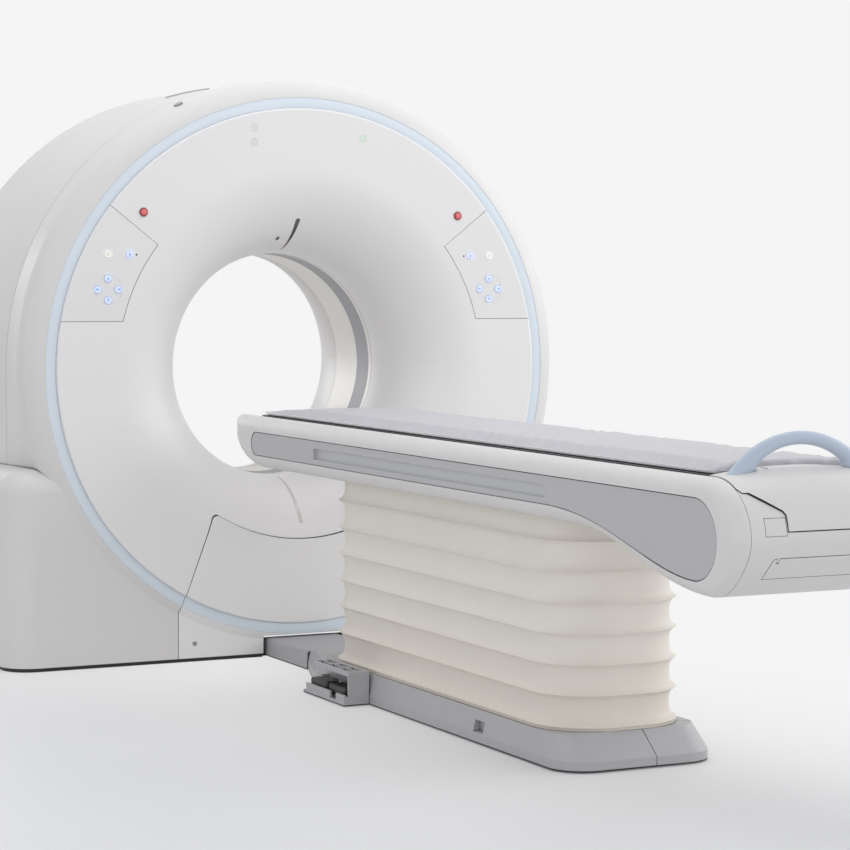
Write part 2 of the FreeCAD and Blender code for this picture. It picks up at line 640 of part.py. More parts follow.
def rotor_drum():
    """Rotor disc with its hub, inner bearing race, drive ring and outer hoop."""
    disc = bore_ring(404, 800, 100, 120)
    hub = bore_ring(500, 548, 120, 190).cut(Part.makeTorus(549, 12, V(0, 170, AXIS_Z), V(0, 1, 0)))
    magnets = bore_ring(628, 668, 120, 190)
    hoop = bore_ring(788, 800, -120, 100)
    drum = fuse_all([disc, hub, magnets, hoop])
    for i in range(6):
        angle = math.radians(30 + 60 * i)
        x = 735 * math.cos(angle)
        z = AXIS_Z + 735 * math.sin(angle)
        drum = drum.cut(rod_y(x, z, 34, 95, 125))
    return drum


TUBE_R = 640.0            # radius of the tube's centre


def xray_tube():
    """Tube housing on the rotor, with its port towards the bore."""
    housing = rod_y(0, AXIS_Z + TUBE_R, 95, -115, 90)
    housing = rounded_edges(housing, 14.0, lambda c, e: c.y < -110)
    port = box(-40, 40, -40, 40, AXIS_Z + TUBE_R - 112, AXIS_Z + TUBE_R - 80)
    foot = box(-130, 130, 90, 100, AXIS_Z + TUBE_R - 80, AXIS_Z + TUBE_R + 80)
    return fuse_all([housing, port, foot])


def collimator():
    """Collimator box under the tube, with its slit."""
    outline = lines([V(-90, 0, 1350), V(90, 0, 1350), V(60, 0, 1447), V(-60, 0, 1447), V(-90, 0, 1350)])
    body = slab_y(outline, -70, 100)
    return body.cut(box(-50, 50, -6, 6, 1340, 1460))


def detector_arc():
    """Detector: an arc centred on the focal spot, opposite the tube."""
    focus = AXIS_Z + TUBE_R
    span = math.radians(24)

    def at(radius, angle):
        return V(radius * math.sin(angle), 0, focus - radius * math.cos(angle))

    edges = [arc(at(1095, -span), at(1095, 0), at(1095, span))]
    edges.append(Part.makeLine(at(1095, span), at(1185, span)))
    edges.append(arc(at(1185, span), at(1185, 0), at(1185, -span)))
    edges.append(Part.makeLine(at(1185, -span), at(1095, -span)))
    return slab_y(edges, -85, 100)


def rotor_box(x0, x1, z0, z1, edge):
    """A rotor cabinet with rounded front edges."""
    block = box(x0, x1, -110, 100, AXIS_Z + z0, AXIS_Z + z1)
    return rounded_edges(block, edge, lambda c, e: c.y < -109)


def hv_generator():
    """High-voltage generator tank on the rotor."""
    return rotor_box(-740, -480, -190, 190, 10.0)


def tube_cooler():
    """Heat exchanger of the tube: a finned block."""
    block = rotor_box(480, 740, -190, 190, 10.0)
    for i in range(7):
        z = AXIS_Z - 150 + 50 * i
        block = block.cut(box(500, 745, -112, -60, z - 6, z + 6))
    return block


def slip_ring():
    """Slip ring at the back of the rotor, with two contact tracks."""
    ring = bore_ring(404, 440, 120, 290)
    for y in (220, 250):
        ring = ring.cut(bore_ring(436, 441, y, y + 14))
    return ring


def brush_block():
    """Brush block that feeds the slip ring, on the frame plate."""
    low = AXIS_Z - 475
    block = box(-70, 70, 236, 284, low, low + 32)
    arm = box(-50, 50, PLATE_Y + PLATE_T, 270, low - 40, low)
    return fuse_all([block, arm])


# ---------------------------------------------------------------- couch base and lift
def plinth_wire(half_w, foot_y, radius, z):
    """Plan of the plinth: a wedge-shaped nose, straight sides and a rounded foot end."""
    w = half_w
    r = radius
    nose_w = DUCT_HALF_W - 4.0 + (w - PLINTH_HALF_W)
    bend = r * (1 - math.sqrt(0.5))
    edges = lines([V(-w, foot_y + r, z), V(-w, PLINTH_SIDE_Y, z), V(-nose_w, PLINTH_NOSE_Y, z)])
    edges += lines([V(-nose_w, PLINTH_NOSE_Y, z), V(nose_w, PLINTH_NOSE_Y, z), V(w, PLINTH_SIDE_Y, z)])
    edges.append(Part.makeLine(V(w, PLINTH_SIDE_Y, z), V(w, foot_y + r, z)))
    edges.append(arc(V(w, foot_y + r, z), V(w - bend, foot_y + bend, z), V(w - r, foot_y, z)))
    edges.append(Part.makeLine(V(w - r, foot_y, z), V(-w + r, foot_y, z)))
    edges.append(arc(V(-w + r, foot_y, z), V(-w + bend, foot_y + bend, z), V(-w, foot_y + r, z)))
    return Part.Wire(edges)


def plinth_form(inset):
    """Solid form of the plinth: an upright band with a bevelled top."""
    base_z = 3.0 if inset == 0 else -5.0
    base = plinth_wire(PLINTH_HALF_W - inset, PLINTH_FOOT_Y + inset, 95.0 - inset, base_z)
    knee = plinth_wire(PLINTH_HALF_W - inset, PLINTH_FOOT_Y + inset, 95.0 - inset, PLINTH_BAND_Z)
    top_foot_y = PLINTH_FOOT_Y + 74 + inset
    top = plinth_wire(PLINTH_HALF_W - 14 - inset, top_foot_y, 70.0 - inset, PLINTH_TOP_Z - inset)
    band = Part.makeLoft([base, knee], True, True)
    bevel = Part.makeLoft([knee, top], True, True)
    form = fuse_all([band, bevel])
    nose = lines([V(0, PLINTH_NOSE_Y + 1, DUCT_TOP_Z - inset), V(0, PLINTH_NOSE_Y + 1, 200)])
    nose += lines([V(0, PLINTH_NOSE_Y + 1, 200), V(0, PLINTH_NOSE_Y - 150, PLINTH_TOP_Z + 0.1 - inset)])
    nose_top = V(0, PLINTH_NOSE_Y - 150, PLINTH_TOP_Z + 0.1 - inset)
    nose.append(Part.makeLine(nose_top, V(0, PLINTH_NOSE_Y + 1, DUCT_TOP_Z - inset)))
    return form.cut(slab_x(nose, -300, 300))


SOCKET_Y = FACE_Y - 1657.0
SOCKET_Z = 46.0
SOCKET_HALF_L = 28.0
SOCKET_HALF_H = 15.0
SOCKET_DEPTH = 22.0


def socket_box(grow):
    """The accessory socket's recess in the plinth's side, or its wall when grown."""
    g = grow
    x0 = -PLINTH_HALF_W - 5
    x1 = -PLINTH_HALF_W + SOCKET_DEPTH + g
    y0 = SOCKET_Y - SOCKET_HALF_L - g
    y1 = SOCKET_Y + SOCKET_HALF_L + g
    return box(x0, x1, y0, y1, SOCKET_Z - SOCKET_HALF_H - g, SOCKET_Z + SOCKET_HALF_H + g)


def plinth_covers():
    """Plinth shell with its separate foot end piece, a cable nose and a socket recess in the side."""
    shell = plinth_form(0.0).cut(plinth_form(WALL))
    well = box(-150, 150, BELLOWS_FOOT_Y + 75, BELLOWS_HEAD_Y - 75, 0, 200)
    shell = shell.cut(well)
    mouth_half_w = DUCT_HALF_W - 12
    mouth = box(-mouth_half_w, mouth_half_w, PLINTH_NOSE_Y - 12, PLINTH_NOSE_Y + 5, 0, DUCT_TOP_Z - 12)
    shell = shell.cut(mouth)
    shell = fuse_all([shell, socket_box(3.0).common(plinth_form(1.0))]).cut(socket_box(0.0))
    cut_y = PLINTH_FOOT_Y + 130
    right_zone = box(PLINTH_SEAM_X + SEAM, BIG, PLINTH_FOOT_Y - 50, cut_y, 0, 200)
    end_piece = shell.common(right_zone)
    main = shell.cut(box(PLINTH_SEAM_X, BIG, PLINTH_FOOT_Y - 50, cut_y + SEAM, 0, 200))
    return Part.makeCompound([main, end_piece])


def duct_cover():
    """Cable duct from the gantry's stand to the plinth's nose."""
    y0 = PLINTH_NOSE_Y + 2.0
    y1 = depth(STAND_DEPTH + 24)
    outer = box(-DUCT_HALF_W, DUCT_HALF_W, y0, y1, 3, DUCT_TOP_Z)
    top = lambda c, e: c.z > DUCT_TOP_Z - 1 and abs(c.x) > DUCT_HALF_W - 1
    outer = rounded_edges(outer, 10.0, top)
    return outer.cut(box(-DUCT_HALF_W + 5, DUCT_HALF_W - 5, y0 - 5, y1 + 5, -5, DUCT_TOP_Z - 5))


def couch_base():
    """Floor plate with anchor holes, docking strip to the gantry and the outer tube of the lift column."""
    plate = box(-195, 195, FACE_Y - 2020, FACE_Y - 600, 0, 12)
    dock = box(-100, 100, FACE_Y - 600, -310.2, 0, 12)
    tube = box(-120, 120, COLUMN_Y - 200, COLUMN_Y + 200, 12, 284)
    tube = tube.cut(box(-112, 112, COLUMN_Y - 192, COLUMN_Y + 192, 12, 290))
    base = fuse_all([plate, dock, tube])
    for side in (-1, 1):
        for dy in (-COUCH_ANCHOR_DY, COUCH_ANCHOR_DY):
            base = base.cut(rod_z(side * COUCH_ANCHOR_X, COLUMN_Y + dy, COUCH_ANCHOR_R, -5, 20))
    return base


def lift_column_middle():
    """Middle tube of the telescopic lift column."""
    outer = box(-111.5, 111.5, COLUMN_Y - 191.5, COLUMN_Y + 191.5, 185, 440)
    return outer.cut(box(-103, 103, COLUMN_Y - 183, COLUMN_Y + 183, 180, 450))


def lift_column_inner():
    """Inner tube of the lift column, bolted under the couch frame."""
    outer = box(-102.5, 102.5, COLUMN_Y - 182.5, COLUMN_Y + 182.5, 350, 628)
    return outer.cut(box(-94, 94, COLUMN_Y - 174, COLUMN_Y + 174, 345, 622))


def bellows():
    """Rounded bellows round the lift: ridges that stand out, with hollow folds between them."""
    low = PLINTH_TOP_Z
    high = FRAME_LOW_Z
    bottom_ridge = low + 12.0
    top_ridge = high - 64.0
    pitch = (top_ridge - bottom_ridge) / (BELLOWS_RIDGES - 1)
    steps = [(low, 0.6)]
    for i in range(BELLOWS_RIDGES):
        z = bottom_ridge + i * pitch
        steps.append((z, 0.0))
        steps.append((z + 0.28 * pitch, 0.85))
        steps.append((z + 0.72 * pitch, 0.85))
    steps[-1] = (high, 0.6)
    wires = []
    for z, dip in steps:
        d = dip * BELLOWS_DIP
        half_w = BELLOWS_HALF_W - d
        wires.append(rounded_rect(half_w, BELLOWS_FOOT_Y + d, BELLOWS_HEAD_Y - d, BELLOWS_R - d, z))
    outer = Part.makeLoft(wires, True, True)
    d = BELLOWS_DIP + BELLOWS_WALL
    hole = [rounded_rect(BELLOWS_HALF_W - d, BELLOWS_FOOT_Y + d, BELLOWS_HEAD_Y - d, BELLOWS_R - d, z)
            for z in (low - 5, high + 5)]
    return outer.cut(Part.makeLoft(hole, True, True))


def pedal_housing():
    """Foot switch housing on the plinth's side: floor tray with a lip, end wall and a ribbed roof."""
    back_x = -PLINTH_HALF_W - 1.0
    out_x = PEDAL_OUT_X
    y0 = PEDAL_FOOT_Y
    y1 = PEDAL_HEAD_Y
    floor = box(out_x, back_x, y0, y1, 3, 12)
    lip = box(out_x, out_x + 6, y0, y1 - 20, 12, 34)
    back = box(back_x - 5, back_x, y0, y1, 3, PEDAL_TOP_Z)
    end_wall = box(out_x + 14, back_x, y0, y0 + 7, 3, PEDAL_TOP_Z)
    roof = box(out_x + 14, back_x, y0, y1 - 25, PEDAL_TOP_Z - 12, PEDAL_TOP_Z)
    roof = rounded_edges(roof, 22.0, lambda c, e: c.x < out_x + 15 and e.Length < 13 and c.y > y1 - 30)
    for i in range(3):
        y = y0 + 22 + 80 * i
        roof = roof.cut(box(out_x + 24, back_x - 34, y, y + 68, PEDAL_TOP_Z - 8, PEDAL_TOP_Z + 1))
        roof = roof.cut(box(back_x - 28, back_x - 10, y, y + 68, PEDAL_TOP_Z - 8, PEDAL_TOP_Z + 1))
    lip = lip.cut(box(out_x - 1, out_x + 7, y0 + 58, y0 + 100, 15, 40))
    front_lip = box(out_x, back_x - 20, y0, y0 + 6, 12, 30)
    pin = rod_y(PEDAL_PIVOT_X, PEDAL_PIVOT_Z, 3, y0 + 5, y0 + 276)
    lugs = [box(PEDAL_PIVOT_X - 9, back_x, y, y + 10, 34, 54) for y in (y0 + 137, y0 + 266)]
    return fuse_all([floor, lip, back, end_wall, roof, front_lip, pin] + lugs)


PEDAL_PIVOT_X = -242.0
PEDAL_PIVOT_Z = 44.0


def pedal(index):
    """One foot pedal: a hinged plate with a turned-down, ribbed toe end."""
    y0 = PEDAL_FOOT_Y + 20 + index * 130
    y1 = y0 + 112
    barrel = rod_y(PEDAL_PIVOT_X, PEDAL_PIVOT_Z, 7, y0, y1)
    plate = box(-288, PEDAL_PIVOT_X, y0, y1, 36, 43)
    toe = box(-290, -282, y0, y1, 28, 43)
    foot = fuse_all([barrel, plate, toe])
    foot = rounded_edges(foot, 3.0, lambda c, e: c.x < -287 and c.z > 42)
    for i in range(3):
        x = -280 + 12 * i
        foot = foot.cut(box(x, x + 3, y0 + 8, y1 - 8, 42, 44))
    return foot.cut(rod_y(PEDAL_PIVOT_X, PEDAL_PIVOT_Z, 3.3, y0 - 1, y1 + 1))


# ---------------------------------------------------------------- couch frame
def side_outline(inset):
    """Side view of the couch frame, shrunk by inset: straight underside, deep foot end."""
    i = inset
    head = COUCH_HEAD_Y - i
    top = FRAME_TOP_Z - i
    low = FRAME_LOW_Z + i
    foot = FOOT_LOW_Z + i
    end = COUCH_END_Y + i
    chin_z = 722.0
    belly_y = COUCH_HEAD_Y - 198.0
    bend_y = FACE_Y - 2190.0
    edges = [Part.makeLine(V(0, ROLL_START_Y, top), V(0, head, top))]
    edges.append(Part.makeLine(V(0, head, top), V(0, head, chin_z)))
    edges.append(ellipse_quarter(V(0, belly_y, chin_z), V(0, head, chin_z), V(0, belly_y, low)))
    edges.append(Part.makeLine(V(0, belly_y, low), V(0, bend_y, low)))
    rise = Part.BezierCurve()
    rise.setPoles([V(0, bend_y, low), V(0, bend_y - 225, low), V(0, SOLE_Y + 230, foot), V(0, SOLE_Y, foot)])
    edges.append(rise.toShape())
    edges.append(heel_curve(i).toShape())
    edges.append(roll_over(V(0, end, WAIST_Z), V(0, ROLL_START_Y, top)))
    return edges


def roll_over(waist, crest):
    """Quarter of an oval from the upright waist to the level crest."""
    up = V(0, 0, ROUNDNESS * (crest.z - waist.z))
    back = V(0, ROUNDNESS * (waist.y - crest.y), 0)
    curve = Part.BezierCurve()
    curve.setPoles([waist, waist.add(up), crest.add(back), crest])
    return curve.toShape()


def heel_curve(inset):
    """Curve of the foot end from the underside up to the waist, shrunk by inset."""
    i = inset
    curve = Part.BezierCurve()
    low = FOOT_LOW_Z + i
    end = COUCH_END_Y + i
    curve.setPoles([V(0, SOLE_Y, low), V(0, SOLE_Y - 60, low), V(0, end, WAIST_Z - 45), V(0, end, WAIST_Z)])
    return curve


def frame_block(half_w, inset):
    """The couch frame's outer form as one block."""
    return slab_x(side_outline(inset), -half_w, half_w)


def rounded_frame(inset):
    """Full frame form with rounded long edges, shrunk by inset."""
    half = FRAME_HALF_W - inset
    block = frame_block(half, inset)
    return rounded_edges(block, FRAME_EDGE_R - inset, lambda c, e: abs(abs(c.x) - half) < 0.5)


INLAY_HEAD_Y = FACE_Y - 175.0
INLAY_TOP_Z = 731.0
INLAY_LOW_Z = 660.0


def inlay_outline(inset):
    """Outline of the grey side inlay: a long strip that drops into the deep foot end."""
    i = inset
    top = INLAY_TOP_Z - i
    low = INLAY_LOW_Z + i
    radius = 0.5 * (top - low)
    mid = 0.5 * (top + low)
    head = INLAY_HEAD_Y - i
    bend_y = FACE_Y - 2085.0
    sole_y = FACE_Y - 2775.0
    sole = 547.0 + i
    end = FACE_Y - 2868.0 + i
    edges = [arc(V(0, head - radius, top), V(0, head, mid), V(0, head - radius, low))]
    edges.append(Part.makeLine(V(0, head - radius, low), V(0, bend_y, low)))
    curve = Part.BezierCurve()
    poles = [V(0, bend_y, low), V(0, bend_y - 300, low), V(0, sole_y + 190, sole), V(0, sole_y, sole)]
    curve.setPoles(poles)
    edges.append(curve.toShape())
    edges.append(arc(V(0, sole_y, sole), V(0, end + 26, 575.0 + 0.7 * i), V(0, end, 646.0)))
    edges.append(arc(V(0, end, 646.0), V(0, end + 30, 706.0 - 0.7 * i), V(0, FACE_Y - 2768.0, top)))
    edges.append(Part.makeLine(V(0, FACE_Y - 2768.0, top), V(0, head - radius, top)))
    return edges


CHANNEL_Y0 = FACE_Y - 2075.0
CHANNEL_Y1 = FACE_Y - 655.0
CHANNEL_Z0 = 676.0
CHANNEL_Z1 = 708.0


def left_side_cover():
    """Moulded side cover of the couch, open where the inlay sits."""
    form = rounded_frame(0.0).cut(rounded_frame(FRAME_WALL))
    cover = form.common(box(-BIG, -162, -BIG, BIG, 0, BIG))
    cover = cover.cut(box(-SIDE_INNER_X, 0, CAP_START_Y, BIG, 740, BIG))
    cover = cover.cut(box(-CAP_HALF_W - 1, 0, -BIG, CAP_START_Y, 0, BIG))
    return cover.cut(slab_x(inlay_outline(-1.0), -FRAME_HALF_W - 5, -FRAME_HALF_W + 8))


def side_inlays():
    """Grey inlays of both sides, each with its long accessory channel."""
    plate = slab_x(inlay_outline(0.5), -FRAME_HALF_W + 1.5, -FRAME_HALF_W + 5)
    outer_x = -FRAME_HALF_W + 3
    inner_x = -FRAME_HALF_W + 18
    tray = box(outer_x, inner_x, CHANNEL_Y0 - 4, CHANNEL_Y1 + 4, CHANNEL_Z0 - 4, CHANNEL_Z1 + 4)
    groove = box(-FRAME_HALF_W, -FRAME_HALF_W + 14, CHANNEL_Y0, CHANNEL_Y1, CHANNEL_Z0, CHANNEL_Z1)
    inlay = fuse_all([plate, tray]).cut(groove)
    return Part.makeCompound([inlay, mirrored(inlay)])


def frame_under_cover():
    """Under cover between the side covers, turned up at the head end, open round the column."""
    form = frame_block(160, 0.0).cut(frame_block(170, FRAME_WALL))
    cover = form.cut(box(-BIG, BIG, -BIG, CAP_START_Y + 1, 0, BIG))
    cover = cover.cut(box(-BIG, BIG, -BIG, COUCH_HEAD_Y - 10, 740, BIG))
    cover = cover.cut(box(-BIG, BIG, -BIG, BIG, 757, BIG))
    return cover.cut(box(-105, 105, COLUMN_Y - 185, COLUMN_Y + 185, 600, 640))


def tongue_zone(gap):
    """Cross-section that the foot end cover sweeps along the frame, grown by gap."""
    g = gap
    right = [V(SHOULDER_HALF_W + g, 0, 900), V(SHOULDER_HALF_W + g, 0, SHOULDER_LOW_Z - g)]
    right += [V(SHOULDER_HALF_W - 7, 0, STEP_Z - g), V(SHOULDER_HALF_W - 22, 0, STEP_Z - g)]
    right += [V(TONGUE_HALF_W + 6 + g, 0, 709 - g), V(TONGUE_HALF_W + g, 0, 700 - g)]
    right += [V(TONGUE_HALF_W + g, 0, TONGUE_LOW_Z - g)]
    left = [V(-v.x, 0, v.z) for v in reversed(right)]
    return slab_y(lines(right + left + [right[0]]), -4000, 0)


FLAP_HALF_W = 156.0
FLAP_TOP_Z = 606.0
FLAP_PIN_Z = FLAP_TOP_Z - 5.0
FLAP_BARREL_R = 3.5
FLAP_REACH = 54.0         # from the pin to the lower edge, which is cut square to its swing


def end_surface_y(z):
    """Y of the frame's foot end at height z, below the waist."""
    curve = heel_curve(0.0)
    low = 0.0
    high = 1.0
    for _ in range(40):
        mid = 0.5 * (low + high)
        if curve.value(mid).z < z:
            low = mid
        else:
            high = mid
    return curve.value(low).y


FLAP_PIN_Y = round(end_surface_y(FLAP_PIN_Z) + FLAP_BARREL_R + 0.2, 1)


def flap_prism(gap):
    """Outline of the release flap, shrunk by gap: a bar with slanted ends and round upper corners."""
    g = gap
    top = FLAP_TOP_Z - g
    low = FLAP_TOP_Z - 90
    corners = [V(-FLAP_HALF_W + 9 + g, 0, top), V(FLAP_HALF_W - 9 - g, 0, top)]
    corners += [V(FLAP_HALF_W + 7 - g, 0, low), V(-FLAP_HALF_W - 7 + g, 0, low)]
    bar = slab_y(lines(corners + [corners[0]]), COUCH_END_Y - 20, COUCH_END_Y + 140)
    bar = rounded_edges(bar, 14.0 - g, lambda c, e: c.z > top - 1 and abs(c.x) > 100 and e.Length > 150)
    return bar.common(rod_x(FLAP_PIN_Y, FLAP_PIN_Z, FLAP_REACH - g, -BIG, BIG))


def skin_groove(x0, x1, z0, z1):
    """A fine square groove in the end cap's surface, round a small hatch."""
    outer = box(x0, x1, -BIG, COUCH_END_Y + 60, z0, z1)
    ring = outer.cut(box(x0 + 1.2, x1 - 1.2, -BIG, BIG, z0 + 1.2, z1 - 1.2))
    return ring.common(frame_block(CAP_HALF_W - 5, 0.0).cut(frame_block(CAP_HALF_W, 1.5)))


def foot_end_cap():
    """End cap of the frame, cut away where the foot end cover comes through."""
    form = frame_block(CAP_HALF_W, 0.0).cut(frame_block(CAP_HALF_W + 5, FRAME_WALL))
    cap = form.common(box(-BIG, BIG, -BIG, CAP_START_Y, 0, BIG))
    cap = cap.cut(tongue_zone(RUN_GAP))
    cap = cap.cut(flap_prism(0.0))
    cap = cap.cut(skin_groove(-175, -TONGUE_HALF_W - 4, 655, 695))
    pin = rod_x(FLAP_PIN_Y, FLAP_PIN_Z, 1.4, -136, 136)
    inside = frame_block(CAP_HALF_W, 0.5)
    lugs = []
    for x in (-136, 130):
        lug = box(x, x + 6, FLAP_PIN_Y - 10, FLAP_PIN_Y + 12, FLAP_PIN_Z - 5, FLAP_PIN_Z + 20)
        lugs.append(lug.common(inside))
    return fuse_all([cap, pin] + lugs)


def release_flap():
    """Pull flap for releasing the couchtop, let into the end cap."""
    form = frame_block(CAP_HALF_W, 0.0).cut(frame_block(CAP_HALF_W + 5, FRAME_WALL))
    plate = form.common(flap_prism(1.5)).common(box(-BIG, BIG, -BIG, COUCH_END_Y + 60, 0, BIG))
    barrel = rod_x(FLAP_PIN_Y, FLAP_PIN_Z, FLAP_BARREL_R, -129, 129)
    flap = fuse_all([plate, barrel]).cut(rod_x(FLAP_PIN_Y, FLAP_PIN_Z, 1.7, -160, 160))
    for x in (-137, 129.2):
        flap = flap.cut(box(x, x + 7.8, -BIG, BIG, FLAP_PIN_Z - 7, BIG))
    return flap


def couch_frame():
    """Steel couch frame: two channel rails, cross members, slide pads and the plate over the column."""
    parts = []
    for side in (-1, 1):
        rail = box(side * 130, side * 205, FACE_Y - 2780, COUCH_HEAD_Y - 200, 632, 698)
        rail = rail.cut(box(side * 125, side * 199, FACE_Y - 2790, COUCH_HEAD_Y - 190, 638, 692))
        parts.append(rail)
        parts.append(box(side * 160, side * 205, COUCH_HEAD_Y - 230, COUCH_HEAD_Y - 60, 661, 698))
        for y in (-510, -850, -1190, -1530):
            parts.append(box(side * 172, side * 200, y - 60, y + 60, 690, CRADLE_LOW_Z - 0.3))
    for y in (-640, -950, -1320, -2080, -2600, -3050):
        parts.append(box(-200, 200, y - 40, y + 40, 632, 655))
    parts.append(box(-200, 200, COLUMN_Y - 200, COLUMN_Y + 200, 628, 655))
    return fuse_all(parts)


# ---------------------------------------------------------------- couchtop
def couchtop_cradle():
    """Carbon cradle: a long board with rounded head corners and a shallow hollow on top."""
    board = box(-CRADLE_HALF_W, CRADLE_HALF_W, CRADLE_END_Y, CRADLE_HEAD_Y, CRADLE_LOW_Z, CRADLE_TOP_Z)
    return rounded_edges(board, 60.0, lambda c, e: c.y > CRADLE_HEAD_Y - 1 and e.Length < 13)


def mattress():
    """Thin pad on the cradle."""
    pad = box(-196, 196, CRADLE_END_Y + 5, CRADLE_HEAD_Y - 8, CRADLE_TOP_Z, MAT_TOP_Z)
    pad = rounded_edges(pad, 50.0, lambda c, e: c.y > CRADLE_HEAD_Y - 9 and 23 < e.Length < 25)
    return rounded_edges(pad, 10.0, lambda c, e: c.z > MAT_TOP_Z - 1)


def crowned_end(inset):
    """Foot end form with a crowned top, lofted across the couch from side view to side view."""
    wires = []
    for share in (-1.0, -0.5, 0.0, 0.5, 1.0):
        lift = COVER_TOP_Z - FRAME_TOP_Z - COVER_CROWN * share * share
        top = FRAME_TOP_Z + lift - inset
        end = COUCH_END_Y + inset
        x = share * (SHOULDER_HALF_W + 0.5)
        front = CRADLE_END_Y + 1.0
        crest = V(x, ROLL_START_Y, top)
        waist = V(x, end, WAIST_Z)
        edges = [roll_over(waist, crest), Part.makeLine(crest, V(x, front, top))]
        edges.append(Part.makeLine(V(x, front, top), V(x, front, WAIST_Z)))
        edges.append(Part.makeLine(V(x, front, WAIST_Z), waist))
        wires.append(Part.Wire(Part.__sortEdges__(edges)))
    return Part.makeLoft(wires, True, False)


def couchtop_end_cover():
    """Foot end cover of the couchtop: crowned top, rolled over the end, and the tongue between the rails."""
    outer = crowned_end(0.0).common(tongue_zone(0.0))
    outer = outer.cut(box(-BIG, BIG, CRADLE_END_Y, 0, 0, BIG))
    hollow = crowned_end(FRAME_WALL).common(tongue_zone(-FRAME_WALL))
    shell = outer.cut(hollow)
    for x in (-83, 83):
        shell = shell.cut(rod_z(x, FACE_Y - 2782, 5.5, COVER_TOP_Z - 5.5, COVER_TOP_Z + 5))
    return shell


HANDLE_Y0 = FACE_Y - 2826.0
HANDLE_Y1 = FACE_Y - 2782.0
HANDLE_HALF_W = 187.0
HANDLE_INNER_W = 116.0
HANDLE_TOP_Z = 873.0
HANDLE_INNER_Z = 843.0


def arch_disc(half_w, foot_z, top_z):
    """A disc whose top passes through (+-half_w, foot_z) and (0, top_z), as thick as the handle."""
    rise = top_z - foot_z
    radius = (half_w ** 2 + rise ** 2) / (2.0 * rise)
    return rod_y(0, top_z - radius, radius, HANDLE_Y0, HANDLE_Y1)


def couch_handle():
    """Arched push handle: straight-flared feet that thin out towards the top."""
    solid = arch_disc(HANDLE_HALF_W, 783.0, HANDLE_TOP_Z)
    gap = arch_disc(110.0, 805.0, HANDLE_INNER_Z)
    gap = gap.common(box(-HANDLE_INNER_W, HANDLE_INNER_W, -BIG, 0, 700, 900))

    def lower_corner(c, e):
        return abs(c.x) > HANDLE_INNER_W - 1 and 790 < c.z < 810 and e.Length > 40

    gap = rounded_edges(gap, 14.0, lower_corner)
    solid = solid.cut(gap).cut(box(-BIG, BIG, -BIG, BIG, -BIG, 765))
    solid = rounded_edges(solid, 9.0, lambda c, e: e.Length > 200)
    return solid.cut(crowned_end(0.0))


# ---------------------------------------------------------------- the whole scanner
def all_nodes():
    """Every piece by name."""
    left_stand = left_stand_cover()
    left_side = left_side_cover()
    nodes = {
        "gantry_frame": gantry_frame(),
        "bearing_outer_ring": bearing_outer_ring(),
        "drive_stator": drive_stator(),
        "brush_block": brush_block(),
        "front_cover": front_cover(),
        "front_lower_cover": front_lower_cover(),
        "front_trim_ring": front_trim_ring(),
        "front_drum_cover": front_drum_cover(),
        "rear_drum_cover": rear_drum_cover(),
        "rear_cover": rear_cover(),
        "left_stand_cover": left_stand,
        "right_stand_cover": mirrored(left_stand),
        "scan_window": scan_window(),
        "tunnel_liner": tunnel_liner(),
        "left_control_panel": control_panel(-1),
        "right_control_panel": control_panel(1),
        "indicator_lamps": indicator_lamps(),
        "laser_windows": laser_windows(),
        "cover_screws": cover_screws(),
        "left_emergency_stop": emergency_stop(-1),
        "right_emergency_stop": emergency_stop(1),
        "rotor_drum": rotor_drum(),
        "xray_tube": xray_tube(),
        "collimator": collimator(),
        "detector_arc": detector_arc(),
        "hv_generator": hv_generator(),
        "tube_cooler": tube_cooler(),
        "slip_ring": slip_ring(),
        "couch_base": couch_base(),
        "lift_column_middle": lift_column_middle(),
        "lift_column_inner": lift_column_inner(),
        "plinth_covers": plinth_covers(),
        "duct_cover": duct_cover(),
        "pedal_housing": pedal_housing(),
        "foot_pedal_down": pedal(0),
        "foot_pedal_up": pedal(1),
        "bellows": bellows(),
        "couch_frame": couch_frame(),
        "left_side_cover": left_side,
        "right_side_cover": mirrored(left_side),
        "side_inlays": side_inlays(),
        "frame_under_cover": frame_under_cover(),
        "foot_end_cap": foot_end_cap(),
        "release_flap": release_flap(),
        "couchtop_cradle": couchtop_cradle(),
        "mattress": mattress(),
        "couchtop_end_cover": couchtop_end_cover(),
        "couch_handle": couch_handle(),
    }
    for side, side_name in ((-1, "left"), (1, "right")):
        for place in KEY_PLACES:
            nodes[side_name + "_key_" + place] = key(side, place)
    return nodes


os.makedirs("parts", exist_ok=True)
for node_name, node_shape in all_nodes().items():
    volume = round(node_shape.Volume / 1000.0, 1)
    print(node_name, node_shape.isValid(), len(node_shape.Solids), volume, "cm3")
    node_shape.exportStep("parts/" + node_name + ".step")
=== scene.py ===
# %% [markdown]
# # A hospital CT scanner, dressed for its portrait
# The solid model comes from a CAD part. Here it is loaded as a fixed frame, and everything that a
# solid model can't show is added round it: paint, light, cloth, padding and small fittings.

# %% Load the frame
import math

import bmesh
import bpy
from mathutils import Matrix, Vector, noise


